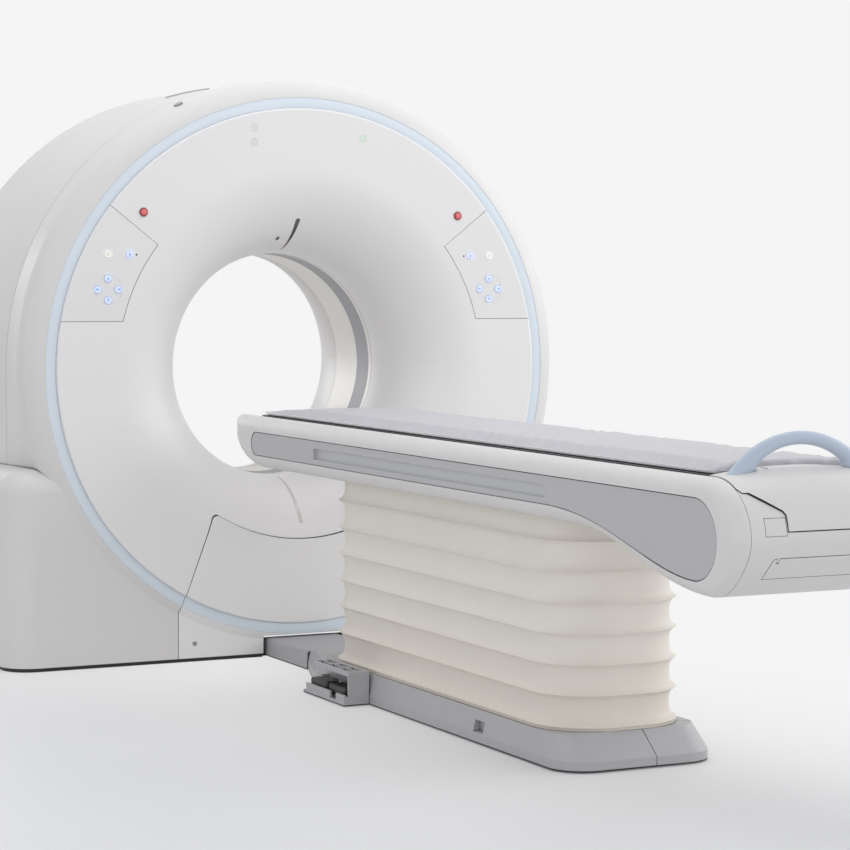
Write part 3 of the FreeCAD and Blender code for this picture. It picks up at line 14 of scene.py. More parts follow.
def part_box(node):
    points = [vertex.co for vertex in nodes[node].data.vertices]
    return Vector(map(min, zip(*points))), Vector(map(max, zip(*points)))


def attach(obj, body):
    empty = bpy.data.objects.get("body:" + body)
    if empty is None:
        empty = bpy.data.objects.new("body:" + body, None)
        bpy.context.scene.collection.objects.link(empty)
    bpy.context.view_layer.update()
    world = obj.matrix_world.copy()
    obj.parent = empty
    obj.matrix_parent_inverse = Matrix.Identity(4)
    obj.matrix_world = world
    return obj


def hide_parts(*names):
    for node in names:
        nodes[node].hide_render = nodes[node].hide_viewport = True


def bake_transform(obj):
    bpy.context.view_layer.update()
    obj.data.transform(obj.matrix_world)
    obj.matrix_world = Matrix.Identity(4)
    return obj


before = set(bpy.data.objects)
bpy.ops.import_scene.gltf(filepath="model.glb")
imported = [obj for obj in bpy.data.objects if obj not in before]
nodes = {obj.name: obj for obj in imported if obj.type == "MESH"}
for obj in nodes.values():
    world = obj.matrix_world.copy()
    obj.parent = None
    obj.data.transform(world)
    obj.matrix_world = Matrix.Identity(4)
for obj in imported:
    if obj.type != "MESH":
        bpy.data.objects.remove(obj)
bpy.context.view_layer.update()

# %% [markdown]
# ## Starting clean
# Blender's operators act on whatever is selected, and a fresh import is selected from end to end.
# So every step first lets go of everything, and only then picks up the one thing to work on.

# %% Let go of everything
def mode(kind):
    """Changes to object or edit mode."""
    bpy.ops.object.mode_set(mode=kind)


def let_go():
    """Leaves edit mode and deselects every object."""
    if bpy.context.object and bpy.context.object.mode != "OBJECT":
        mode("OBJECT")
    bpy.ops.object.select_all(action="DESELECT")


def pick_up(piece):
    """Makes one piece the only selected and active object."""
    let_go()
    piece.select_set(True)
    bpy.context.view_layer.objects.active = piece


let_go()

# %% [markdown]
# ## The camera
# The picture was taken from the left of the couch's foot end with a long lens: lines that run away
# from the camera hardly come together. A short lens close by would bulge the near end of the couch.
# The shift slides the picture a little without turning the camera, which keeps uprights upright.

# %% Camera
bpy.ops.object.camera_add(location=(-3.2852, -8.0779, 1.2325))
camera = bpy.context.object
camera.name = "portrait_camera"
camera.rotation_mode = "XYZ"
camera.rotation_euler = [math.radians(angle) for angle in (87.174, -0.117, -26.709)]
camera.data.lens = 111.92
camera.data.sensor_width = 36.0
camera.data.shift_x = -0.0583
camera.data.shift_y = -0.0308
bpy.context.scene.camera = camera
print("camera stands", round(camera.location.length, 2), "m from the bore's footprint")

# %% [markdown]
# ## Wiring shaders
# A shader is a net of small nodes, and the same few turn up in every net. So each of them gets a
# helper that adds the node, sets it up and wires it.

# %% Helpers for shader nets
def paint(red, green, blue):
    """A colour as the eye names it, 0 to 255, turned into the light values that shaders use."""
    def light(value):
        value = value / 255.0
        return value / 12.92 if value <= 0.04045 else ((value + 0.055) / 1.055) ** 2.4
    return (light(red), light(green), light(blue), 1.0)


def set_values(node, **values):
    """Sets a node's inputs; an underscore stands for a space in an input's name."""
    for name, value in values.items():
        node.inputs[name.replace("_", " ")].default_value = value


def add_node(tree, kind, **values):
    """A new node, with values on some of its inputs."""
    node = tree.nodes.new("ShaderNode" + kind)
    set_values(node, **values)
    return node


def combined(tree, operation, *values):
    """The result of a sum over one or two values."""
    node = add_node(tree, "Math")
    node.operation = operation
    for number, value in enumerate(values):
        tree.links.new(value, node.inputs[number])
    return node.outputs[0]


def spread(tree, value, low, high, to_low=0.0, to_high=1.0, smooth=False):
    """A value whose range from low to high is mapped onto another range and ends there."""
    node = add_node(tree, "MapRange", From_Min=low, From_Max=high, To_Min=to_low, To_Max=to_high)
    if smooth:
        node.interpolation_type = "SMOOTHSTEP"
    tree.links.new(value, node.inputs["Value"])
    return node.outputs["Result"]


def blended(tree, share, first, second):
    """Two shaders blended by a share."""
    node = add_node(tree, "MixShader")
    for number, source in enumerate((share, first, second)):
        tree.links.new(source, node.inputs[number])
    return node.outputs[0]


def looking(tree):
    """One for the rays that look: from the camera, off a gloss or through something clear."""
    ray = add_node(tree, "LightPath").outputs
    direct = combined(tree, "MAXIMUM", ray["Is Camera Ray"], ray["Is Glossy Ray"])
    return combined(tree, "MAXIMUM", direct, ray["Is Transmission Ray"])


# %% [markdown]
# ## The studio
# A scanner like this is photographed in a white cove: a floor that runs up into the wall in one
# curve, so that no horizon shows. One wide floor does that here, because the world behind it has
# the same pale tone. The camera sees the world at that tone, and so do shiny and clear surfaces;
# everything else gets a softer fill from it, so that pale plastic doesn't burn out to white.

# %% The air round the scanner
STUDIO_WHITE = paint(245, 245, 245)
bpy.context.scene.view_settings.view_transform = "Standard"

world = bpy.data.worlds.new("studio_air")
bpy.context.scene.world = world
world.use_nodes = True
air = world.node_tree
air.nodes.clear()
skies = [add_node(air, "Background", Color=tint, Strength=strength).outputs[0]
         for tint, strength in ((paint(243, 245, 250), 0.69), (STUDIO_WHITE, 1.0))]
sky = blended(air, looking(air), *skies)
air.links.new(sky, add_node(air, "OutputWorld").inputs["Surface"])

# %% [markdown]
# Past the couch, and to its right, the floor fades into the white of the wall for the rays that
# look at it. So does the far floor on every side, so that no horizon shows from behind either.

# %% Floor
FLOOR_SIZE = 90.0
FLOOR_Y = 30.0
AWAY = (0.90, 0.67, 0.0)
FADE_START, FADE_END = -2.4, 0.7
FAR_CENTRE_Y = -1.5
FAR_START, FAR_END = 5.5, 13.0

bpy.ops.mesh.primitive_plane_add(size=FLOOR_SIZE, location=(0.0, FLOOR_Y, 0.0))
floor = bpy.context.object
floor.name = "studio_floor"

floor_paint = bpy.data.materials.new("studio_floor_paint")
floor_paint.use_nodes = True
tree = floor_paint.node_tree
floor_shader = tree.nodes["Principled BSDF"]
set_values(floor_shader, Roughness=0.55, Specular_IOR_Level=0.3)
floor_place = add_node(tree, "TexCoord").outputs["Object"]
scuff = add_node(tree, "TexNoise", Scale=1.3, Detail=3.0)
tree.links.new(floor_place, scuff.inputs["Vector"])
floor_tone = spread(tree, scuff.outputs["Fac"], 0.0, 1.0, 0.73, 0.77)
tree.links.new(floor_tone, floor_shader.inputs["Base Color"])


def floor_measure(operation, against):
    """A measure of a place on the floor against a fixed direction or point."""
    node = add_node(tree, "VectorMath")
    node.operation = operation
    node.inputs[1].default_value = against
    tree.links.new(floor_place, node.inputs[0])
    return node.outputs["Value"]


floor_shift = FLOOR_Y * AWAY[1]
fade = spread(tree, floor_measure("DOT_PRODUCT", AWAY),
              FADE_START - floor_shift, FADE_END - floor_shift, smooth=True)
far_fade = spread(tree, floor_measure("DISTANCE", (0.0, FAR_CENTRE_Y - FLOOR_Y, 0.0)),
                  FAR_START, FAR_END, smooth=True)
faded = combined(tree, "MAXIMUM", fade, far_fade)
share = combined(tree, "MULTIPLY", faded, looking(tree))
glow = add_node(tree, "Emission", Color=STUDIO_WHITE)
floor_look = blended(tree, share, floor_shader.outputs["BSDF"], glow.outputs["Emission"])
tree.links.new(floor_look, tree.nodes["Material Output"].inputs["Surface"])
floor.data.materials.append(floor_paint)


# %% Lamps
def soft_lamp(name, spot, aim, width, depth, power):
    """A large soft box at spot that faces aim."""
    bpy.ops.object.light_add(type="AREA", location=spot)
    lamp = bpy.context.object
    lamp.name = name
    lamp.data.shape = "RECTANGLE"
    lamp.data.size = width
    lamp.data.size_y = depth
    lamp.data.energy = power
    lamp.rotation_euler = (Vector(aim) - Vector(spot)).to_track_quat("-Z", "Y").to_euler()


soft_lamp("overhead_softbox", (0.0, -1.2, 4.6), (0.0, -1.0, 0.0), 5.0, 3.0, 60.0)
soft_lamp("rear_softbox", (0.0, 2.2, 4.6), (0.0, 1.0, 0.0), 5.0, 3.0, 28.0)
soft_lamp("front_left_softbox", (-6.0, -8.0, 2.6), (0.0, -1.0, 0.8), 5.0, 4.0, 88.0)
soft_lamp("left_softbox", (-6.5, -1.5, 3.2), (0.0, -0.8, 0.8), 4.0, 3.0, 12.0)
soft_lamp("right_softbox", (6.5, -1.8, 3.2), (0.0, -1.0, 0.8), 6.0, 4.5, 170.0)
soft_lamp("front_right_softbox", (4.5, -7.5, 3.0), (0.0, -0.5, 0.9), 5.0, 4.0, 62.0)
soft_lamp("bore_softbox", (-0.6, 2.6, 1.25), (0.3, 0.0, 0.9), 0.8, 0.8, 12.0)
print("studio: one floor, seven soft boxes")

# %% [markdown]
# ## Finishes
# A finish is more than a colour. Moulded covers have a faint orange peel and never quite one tone;
# metal is drawn or cast; lacquer hides the grain. Each finish starts from one plain shader. It gets
# a mottle in its colour, a rub on its gloss and a grain on its surface. All of them read object
# coordinates, in metres, so a grain is the same size on every piece.

# %% Helpers for finishes
COAT_ROUGHNESS = 0.12
DARKER = 0.85
EVEN = (1.0, 1.0, 1.0)


def shader_of(finish):
    """The plain shader of a finish."""
    return finish.node_tree.nodes["Principled BSDF"]


def speckle(finish, kind, scale, detail=2.0, stretch=EVEN):
    """The value of a noise or cell pattern in object coordinates."""
    tree = finish.node_tree
    lay = add_node(tree, "Mapping", Scale=stretch)
    tree.links.new(tree.nodes["place"].outputs["Object"], lay.inputs["Vector"])
    if kind == "cells":
        pattern = add_node(tree, "TexVoronoi", Scale=scale)
    else:
        pattern = add_node(tree, "TexNoise", Scale=scale, Detail=detail)
    tree.links.new(lay.outputs["Vector"], pattern.inputs["Vector"])
    return pattern.outputs["Distance" if kind == "cells" else "Fac"]


def repaint(finish, share, first, second):
    """Feeds a finish's colour from two, each a plain colour or a socket, mixed by a share."""
    tree = finish.node_tree
    mix = add_node(tree, "Mix")
    mix.data_type = "RGBA"
    tree.links.new(share, mix.inputs["Factor"])
    for socket, colour in (("A", first), ("B", second)):
        if isinstance(colour, bpy.types.NodeSocket):
            tree.links.new(colour, mix.inputs[socket])
        else:
            mix.inputs[socket].default_value = colour
    tree.links.new(mix.outputs["Result"], shader_of(finish).inputs["Base Color"])


def colour_so_far(finish):
    """The socket that feeds a finish's colour."""
    return shader_of(finish).inputs["Base Color"].links[0].from_socket


def rub(finish, low, high, scale):
    """Lets the gloss wander, as on a surface that hands and cloths have passed over."""
    gloss = spread(finish.node_tree, speckle(finish, "noise", scale, 4.0), 0.3, 0.7, low, high)
    finish.node_tree.links.new(gloss, shader_of(finish).inputs["Roughness"])


def grain(finish, kind, scale, height, strength, stretch=EVEN):
    """A fine relief of that height in metres."""
    tree = finish.node_tree
    bump = add_node(tree, "Bump", Strength=strength, Distance=height)
    tree.links.new(speckle(finish, kind, scale, 2.0, stretch), bump.inputs["Height"])
    tree.links.new(bump.outputs["Normal"], shader_of(finish).inputs["Normal"])


def new_finish(name, colour, other, roughness, scale, relief=None, rubbed=None, coat=0.0,
               metallic=0.0, glow=None):
    """A finish that wanders between two colours, or a colour and a darker tone of it."""
    colour = paint(*colour)
    other = paint(*other) if other else (*(DARKER * value for value in colour[:3]), 1.0)
    finish = bpy.data.materials.new(name)
    finish.use_nodes = True
    shader = shader_of(finish)
    set_values(shader, Base_Color=colour, Roughness=roughness, Metallic=metallic,
               Coat_Weight=coat, Coat_Roughness=COAT_ROUGHNESS)
    add_node(finish.node_tree, "TexCoord").name = "place"
    repaint(finish, speckle(finish, "noise", scale, 3.0), colour, other)
    if rubbed:
        rub(finish, *rubbed)
    if relief:
        grain(finish, *relief)
    if glow:
        set_values(shader, Emission_Color=glow[0], Emission_Strength=glow[1])
    return finish


def seam_shade(finish, reach=0.007, shade_colour=(0.045, 0.038, 0.034, 1.0), clear=0.78):
    """Darkens the walls of gaps and inner corners with painted shade, by how shut in they are."""
    shut_in = add_node(finish.node_tree, "AmbientOcclusion", Distance=reach)
    shut_in.samples = 8
    open_sky = spread(finish.node_tree, shut_in.outputs["AO"], 0.30, clear)
    repaint(finish, open_sky, shade_colour, colour_so_far(finish))


def masked(finish, axis, low, high, colour, fold=False):
    """Lays another colour where a coordinate passes from low to high, on both sides if folded."""
    tree = finish.node_tree
    split = add_node(tree, "SeparateXYZ")
    tree.links.new(tree.nodes["place"].outputs["Object"], split.inputs["Vector"])
    where = split.outputs[axis]
    if fold:
        where = combined(tree, "ABSOLUTE", where)
    repaint(finish, spread(tree, where, low, high), colour_so_far(finish), colour)


def painted_shadow_below(finish, height):
    """Paints a black foot rim up to a height above the floor, as painted shadow in the gap under a
    cover.
    """
    masked(finish, "Z", height + 0.0001, height - 0.0001, paint(30, 30, 33))


def dress(finish, *names):
    """Gives CAD nodes a finish."""
    for name in names:
        nodes[name].data.materials.clear()
        nodes[name].data.materials.append(finish)


# %% [markdown]
# ## Moulded covers
# The big covers are thermoformed and sprayed: a satin off-white with a fine, even texture without
# reflections. It is kept a shade below white, so that its soft shading can be seen. The drum, the
# stand and the couch get the same finish a shade darker, as painted shade where the lamps light
# them too brightly, and a wider painted shade in their joints.

# %% Covers, panels and trim
SPRAYED = ("cells", 900.0, 0.00012, 0.18)
WIPED = (0.38, 0.48, 6.0)
cover_white = new_finish(
    "sprayed_cover_white", (232, 230, 229), (229, 227, 226), 0.42, 1.7, SPRAYED, WIPED)
# Painted shade in the covers' gaps and inner corners.
seam_shade(cover_white)
dress(cover_white, "front_cover", "front_lower_cover")

# Painted shade: the cover finish a shade darker, with a wider painted shade in the joints.
drum_shaded_white = new_finish(
    "sprayed_white_shaded", (217, 215, 213), (213, 211, 209), 0.42, 1.7, SPRAYED, WIPED)
seam_shade(drum_shaded_white, reach=0.010)
dress(drum_shaded_white, "front_drum_cover", "rear_drum_cover", "rear_cover", "left_stand_cover",
      "right_stand_cover", "left_side_cover", "right_side_cover", "foot_end_cap", "release_flap",
      "couchtop_end_cover")

under_white = new_finish(
    "under_cover_white", (222, 219, 217), (216, 214, 212), 0.55, 3.0,
    ("cells", 500.0, 0.0002, 0.25))
dress(under_white, "frame_under_cover")

panel_white = new_finish(
    "membrane_panel_white", (229, 227, 226), (226, 225, 224), 0.36, 4.0,
    ("noise", 1400.0, 0.00006, 0.2), coat=0.1)
# Painted shade in the panels' gaps.
seam_shade(panel_white)
dress(panel_white, "left_control_panel", "right_control_panel")

trim_blue = new_finish(
    "lacquered_trim_blue", (217, 226, 234), (212, 223, 232), 0.26, 2.2,
    ("noise", 260.0, 0.00005, 0.15), coat=0.4)
# Painted shade in the trim's channel, in a pale blue.
seam_shade(trim_blue, reach=0.003, shade_colour=paint(160, 178, 198), clear=0.6)
dress(trim_blue, "front_trim_ring")

handle_blue = new_finish(
    "handle_blue", (184, 195, 210), (180, 192, 208), 0.46, 9.0, ("cells", 1100.0, 0.0001, 0.2),
    (0.42, 0.54, 30.0))
dress(handle_blue, "couch_handle")

# %% [markdown]
# ## The bore
# Inside the bore a beige-white liner stands on each side of the scan window, a grey band that
# X-rays pass through. The window is a wound film, so its grain runs round the bore.

# %% Liner, window and laser glass
liner_beige = new_finish(
    "tunnel_liner_beige", (236, 233, 228), (232, 229, 224), 0.4, 3.0, ("cells", 800.0, 0.0001, 0.2))
dress(liner_beige, "tunnel_liner")

window_film = new_finish(
    "scan_window_film", (164, 164, 168), (158, 159, 164), 0.5, 6.0,
    ("noise", 90.0, 0.0001, 0.25, (1.0, 14.0, 1.0)))
dress(window_film, "scan_window")

laser_glass = new_finish("laser_slot_glass", (58, 52, 50), (70, 60, 54), 0.1, 60.0, coat=0.8)
masked(laser_glass, "Z", 0.90, 0.89, paint(206, 204, 200))
# Painted shade round the laser windows.
seam_shade(laser_glass, reach=0.0025)
dress(laser_glass, "laser_windows")

# The lamp on the right is greenish, and the diodes in the panels, lower down, are dark.
lamp_lens = new_finish(
    "lamp_lens", (222, 221, 220), (216, 216, 215), 0.3, 80.0, ("cells", 1500.0, 0.0002, 0.3),
    coat=0.2)
masked(lamp_lens, "X", 0.19, 0.1901, paint(214, 226, 212))
masked(lamp_lens, "Z", 1.40, 1.39, paint(70, 70, 76))
# Painted shade round the lamp lenses.
seam_shade(lamp_lens, reach=0.003)
dress(lamp_lens, "indicator_lamps")

# %% [markdown]
# ## Keys and emergency stops
# The direction keys are lit from behind in pale blue; the outer upper key is left white. The
# emergency stops are the one strong colour on the machine, so that they are found without looking.

# %% Keys and stops
MOULDED = ("noise", 900.0, 0.0001, 0.2)
key_blue = new_finish(
    "backlit_key_blue", (208, 219, 242), (218, 227, 245), 0.3, 120.0, MOULDED, coat=0.3,
    glow=(paint(176, 200, 250), 0.20))
key_white = new_finish(
    "backlit_key_white", (246, 244, 236), (240, 239, 232), 0.3, 120.0, MOULDED, coat=0.3,
    glow=(paint(250, 246, 232), 0.12))
for side in ("left", "right"):
    for key in ("up", "down", "outer", "inner", "home"):
        dress(key_blue, f"{side}_key_{key}")
    dress(key_white, f"{side}_key_light")

BUTTON = ("noise", 700.0, 0.0001, 0.25)
stop_red = new_finish(
    "emergency_stop_red", (176, 62, 64), (150, 30, 36), 0.32, 90.0, BUTTON, coat=0.3)
dress(stop_red, "left_emergency_stop", "right_emergency_stop")
stop_light = new_finish(
    "emergency_stop_cap", (228, 122, 122), (210, 92, 96), 0.3, 260.0, BUTTON, coat=0.3)
glyph_blue = new_finish("key_print_blue", (124, 158, 234), (138, 168, 236), 0.4, 300.0)
glyph_grey = new_finish("key_print_grey", (196, 194, 188), (188, 187, 182), 0.4, 300.0)
ring_white = new_finish(
    "key_ring_white", (240, 242, 246), (234, 237, 243), 0.3, 200.0, coat=0.3,
    glow=(paint(214, 228, 255), 0.22))

# %% [markdown]
# ## Couch finishes
# Grey lacquer on the inlays and the plinth, a dark woven-fibre shell under the pad, a cream coated
# cloth for the bellows, painted darker towards the floor as painted shade, and rubber on the
# pedals.
# The floor of the inlays' channel is painted a little lighter than the lacquer round it, as painted
# light that lifts the shade in the deep recess.

# %% Couch, plinth and pedals
inlay_grey = new_finish(
    "inlay_grey", (182, 181, 184), (178, 177, 181), 0.36, 2.5, ("cells", 950.0, 0.0001, 0.2),
    (0.32, 0.44, 8.0), coat=0.1)
# Painted light: the channel floor is painted lighter to lift the shade of the deep recess.
masked(inlay_grey, "X", 0.2500, 0.2440, paint(194, 196, 197), fold=True)
dress(inlay_grey, "side_inlays")

PLINTH_SHADOW_RIM = 0.0066
plinth_grey = new_finish(
    "plinth_grey", (176, 175, 177), (169, 168, 171), 0.42, 3.0, ("cells", 700.0, 0.00015, 0.25),
    (0.38, 0.52, 9.0))
# Painted shade in the plinth's gaps and corners.
seam_shade(plinth_grey)
# Painted shadow: a black rim along the plinth's foot, for the shaded gap there.
painted_shadow_below(plinth_grey, PLINTH_SHADOW_RIM)
dress(plinth_grey, "plinth_covers", "duct_cover", "pedal_housing")

pedal_black = new_finish(
    "pedal_rubber", (36, 34, 35), (50, 48, 49), 0.42, 40.0, ("cells", 600.0, 0.0004, 0.5))
dress(pedal_black, "foot_pedal_down", "foot_pedal_up")

cradle_dark = new_finish(
    "cradle_fibre_shell", (24, 22, 23), (38, 35, 36), 0.45, 30.0,
    ("cells", 420.0, 0.0003, 0.4, (1.0, 2.0, 1.0)), coat=0.2)
dress(cradle_dark, "couchtop_cradle")

bellows_cream = new_finish(
    "bellows_coated_cloth", (229, 224, 215), (225, 220, 210), 0.62, 5.0,
    ("cells", 1300.0, 0.0003, 0.35))
# Painted shade: the cloth is painted darker towards the floor.
masked(bellows_cream, "Z", 0.30, 0.10, paint(220, 213, 202))
dress(bellows_cream, "bellows")

mattress_grey = new_finish(
    "mattress_coated_cloth", (192, 190, 194), (186, 184, 189), 0.5, 6.0,
    ("cells", 900.0, 0.0003, 0.35))
dress(mattress_grey, "mattress")

# %% [markdown]
# ## Hidden machinery
# Nothing of it shows while the covers are shut, but the part comes apart, so bare steel, cast
# housings and the bright guide columns get their own finishes too. The rim of the gantry frame's
# floor tray shows under the covers and is painted black as painted shadow for the gap there; the
# steel above it is grey.

# %% Steel, aluminium and plastic inside
def metal(name, colour, roughness, scale, stretch=EVEN):
    """A metal with a machined or cast grain."""
    return new_finish(name, colour, None, roughness, 8.0, ("noise", scale, 0.0002, 0.25, stretch),
                      (roughness * 0.8, roughness * 1.3, 25.0), metallic=1.0)


frame_steel = new_finish(
    "painted_frame_steel", (120, 124, 130), (108, 112, 119), 0.5, 5.0,
    ("noise", 240.0, 0.0003, 0.3))
dress(frame_steel, "couch_frame", "couch_base")
TRAY_SHADOW_RIM = 0.0205
tray_steel = frame_steel.copy()
tray_steel.name = "gantry_frame_steel"
# Painted shadow: a black rim along the tray's foot, for the shaded gap under the covers.
painted_shadow_below(tray_steel, TRAY_SHADOW_RIM)
dress(tray_steel, "gantry_frame")
dress(metal("bearing_steel", (150, 152, 156), 0.28, 500.0), "bearing_outer_ring")
dress(metal("stator_laminations", (104, 100, 98), 0.45, 700.0, (1.0, 6.0, 1.0)), "drive_stator")
dress(metal("rotor_steel", (132, 135, 140), 0.38, 300.0), "rotor_drum")
dress(metal("tube_housing_steel", (140, 142, 146), 0.34, 420.0), "xray_tube", "collimator")
dress(metal("column_aluminium", (178, 180, 184), 0.25, 600.0, (1.0, 1.0, 0.1)),
      "lift_column_middle", "lift_column_inner")
dress(metal("detector_aluminium", (168, 170, 174), 0.35, 500.0), "detector_arc")
dress(metal("generator_case", (124, 128, 134), 0.4, 350.0), "hv_generator", "tube_cooler")
dress(metal("screw_steel", (170, 172, 174), 0.3, 900.0), "cover_screws")

slip_plastic = new_finish(
    "slip_ring_resin", (88, 70, 52), (98, 78, 56), 0.4, 40.0, ("noise", 500.0, 0.0002, 0.3))
dress(slip_plastic, "slip_ring", "brush_block")
print("finishes:", len(bpy.data.materials))

# %% [markdown]
# ## The bellows
# The lift column is hidden by a bellows of coated cloth. Each panel hangs from one stiff ridge to
# the next: it drops almost straight, flares out to the next ridge and is cut back sharply under it,
# so that every ridge is a thin lip with a shadow below. A ring of edges is the simplest start: one
# rounded rectangle is drawn on the plinth, then extruded upwards step by step, drawn in or let out.

# %% Draw the bellows' plan
def corners_of(name):
    """The lowest and highest corner of a CAD node, and the middle of its length."""
    low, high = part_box(name)
    return low, high, 0.5 * (low.y + high.y)


def select_edges(piece, wanted):
    """Selects the edges of a piece in edit mode whose middle and length pass a test."""
    bpy.ops.mesh.select_mode(type="EDGE")
    shape = bmesh.from_edit_mesh(piece.data)
    for part in (shape.verts, shape.edges, shape.faces):
        for element in part:
            element.select_set(False)
    for edge in shape.edges:
        if wanted(0.5 * (edge.verts[0].co + edge.verts[1].co), edge.calc_length()):
            edge.select_set(True)
    bmesh.update_edit_mesh(piece.data)


bellows_low, bellows_high, bellows_mid = corners_of("bellows")
CLOTH_PROUD = 0.013
half_w = bellows_high.x + 0.6 * CLOTH_PROUD
half_l = 0.5 * (bellows_high.y - bellows_low.y) + CLOTH_PROUD
BELLOWS_CORNER, CORNER_SEGMENTS = 0.155, 12
LONG_SIDE_CUTS, SHORT_SIDE_CUTS = 48, 8
RIDGES = 7
PITCH = 0.0767
FIRST_RIDGE = 0.012

let_go()
bpy.ops.mesh.primitive_plane_add(size=1.0, location=(0.0, bellows_mid, bellows_low.z))
bellows = bpy.context.object
bellows.name = "bellows_cloth"
bpy.ops.object.transform_apply(location=True)
mode("EDIT")
bpy.ops.transform.resize(value=(2 * half_w, 2 * half_l, 1.0),
                         center_override=(0.0, bellows_mid, bellows_low.z))
bpy.ops.mesh.bevel(offset=BELLOWS_CORNER, segments=CORNER_SEGMENTS, affect="VERTICES")
bpy.ops.mesh.delete(type="ONLY_FACE")
select_edges(bellows, lambda middle, length: length > 0.5)
bpy.ops.mesh.subdivide(number_cuts=LONG_SIDE_CUTS)
select_edges(bellows, lambda middle, length: 0.1 < length < 0.5)
bpy.ops.mesh.subdivide(number_cuts=SHORT_SIDE_CUTS)
print("plan of the bellows:", len(bmesh.from_edit_mesh(bellows.data).edges), "edges")
bpy.ops.mesh.select_all(action="SELECT")

# %% [markdown]
# Each step is a height above the last ridge, in shares of the pitch, and how far the cloth stands
# back from the ridge's tip there, in metres. The hem's steps have their heights in metres too.

# %% Extrude the pleats
PLEAT = ((0.012, 0.0006), (0.03, 0.0032), (0.07, 0.0068), (0.13, 0.0102), (0.22, 0.0130),
         (0.36, 0.0150), (0.54, 0.0156), (0.70, 0.0147), (0.82, 0.0122), (0.90, 0.0088),
         (0.955, 0.0044), (0.985, 0.0010), (1.0, 0.0))
HEM = ((0.0, 0.0010), (0.0024, -0.0004), (0.0040, 0.0030), (0.0052, 0.0034), (0.0064, -0.0002),
       (0.0100, -0.0012))
steps = list(HEM) + [(FIRST_RIDGE, 0.0)]
for ridge in range(RIDGES - 1):
    steps += [(FIRST_RIDGE + (ridge + share) * PITCH, back) for share, back in PLEAT]
last_ridge = steps[-1][0]
steps += [(last_ridge + share * PITCH, back) for share, back in PLEAT[:7]]
steps.append((bellows_high.z - bellows_low.z, 0.0150))

level, stand_back = 0.0, 0.0
for height, back in steps:
    middle = (0.0, bellows_mid, bellows_low.z + height)
    if height > level:
        rise = {"value": (0.0, 0.0, height - level)}
        bpy.ops.mesh.extrude_edges_move(TRANSFORM_OT_translate=rise)
    draw_in = [(half - back) / (half - stand_back) for half in (half_w, half_l)]
    bpy.ops.transform.resize(value=(*draw_in, 1.0), center_override=middle)
    level, stand_back = height, back
bpy.ops.mesh.select_all(action="SELECT")
bpy.ops.mesh.normals_make_consistent(inside=False)
mode("OBJECT")

# %% [markdown]
# Cloth is never quite straight. The panels get a slow wander of a millimetre or so, least at the
# ridges, which a wire keeps in shape. Then the cloth gets its thickness, inwards.

# %% Let the cloth wander
CLOTH_THICK = 0.0020
SWAY, CREASE = 0.0022, 0.0008
for vertex in bellows.data.vertices:
    spot = vertex.co
    share = ((spot.z - bellows_low.z - FIRST_RIDGE) / PITCH) % 1.0
    slack = math.sin(math.pi * share) ** 2
    out = Vector((spot.x / half_w, (spot.y - bellows_mid) / half_l * 0.4, 0.0)).normalized()
    sway = noise.noise(Vector((spot.x * 4.0, spot.y * 4.0, spot.z * 9.0)))
    crease = noise.noise(Vector((spot.x * 16.0, spot.y * 16.0, spot.z * 38.0)))
    spot += out * (SWAY * sway + CREASE * crease) * slack
wall = bellows.modifiers.new("wall", "SOLIDIFY")
wall.thickness = CLOTH_THICK
wall.offset = -1.0
pick_up(bellows)
bpy.ops.object.modifier_apply(modifier="wall")
bpy.ops.object.shade_smooth_by_angle(angle=math.radians(75))
bellows.data.materials.append(bellows_cream)
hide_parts("bellows")
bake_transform(bellows)
print("bellows:", len(bellows.data.polygons), "faces")

# %% [markdown]
# ## The mattress
# A thin foam pad in a coated cloth cover lies on the cradle. Its cover is a little too long for the
# foam, so it lies in soft slanting wrinkles, most of them towards the foot end. A box is made just
# smaller than the pad, turned into an even mesh, thinned towards its edges, given the beginnings of
# those wrinkles and then blown up as cloth, with its underside pinned to the cradle, so that the
# wrinkles settle by themselves.

# %% Block out the pad
pad_low, pad_high, pad_mid = corners_of("mattress")
PAD_SHY = 0.004
PAD_CORNER, PAD_ROUNDING = 0.050, 0.009
pad_size = pad_high - pad_low
let_go()
bpy.ops.mesh.primitive_cube_add(size=1.0, location=(0.0, pad_mid, 0.5 * (pad_low.z + pad_high.z)))
mattress = bpy.context.object
mattress.name = "mattress_pad"
mattress.scale = (pad_size.x - 2 * PAD_SHY, pad_size.y - 2 * PAD_SHY, pad_size.z - PAD_SHY)
bpy.ops.object.transform_apply(location=True, rotation=True, scale=True)
mode("EDIT")
select_edges(mattress, lambda middle, length: middle.y > pad_high.y - 0.01 and length < 0.03)
bpy.ops.mesh.bevel(offset=PAD_CORNER, segments=8)
select_edges(mattress, lambda middle, length: middle.z > pad_high.z - 0.012)
bpy.ops.mesh.bevel(offset=PAD_ROUNDING, segments=4)
mode("OBJECT")

# %% [markdown]
# The voxel remesh gives faces of one size, which cloth needs to fold evenly in every direction. The
# pad thins out to a nose at its head end and to a shoulder along each side. Its wrinkles slant.

# %% Even mesh and first wrinkles
PAD_VOXEL = 0.0065
SLANT_X, SLANT_Y = 0.81, 0.58
NOSE_START, NOSE_THINNING = -0.700, 0.62
SHOULDER_X, SHOULDER_WIDTH = 0.194, 0.060
WRINKLES_START, WRINKLES_GROW = -1.0, 1.1
WRINKLE_X, WRINKLE_FADE = 0.196, 0.03
WRINKLE, SWELL, SINK = 0.0034, 0.0016, 0.0012


def within(value, low=0.0):
    """A value kept between low and one."""
    return min(1.0, max(low, value))


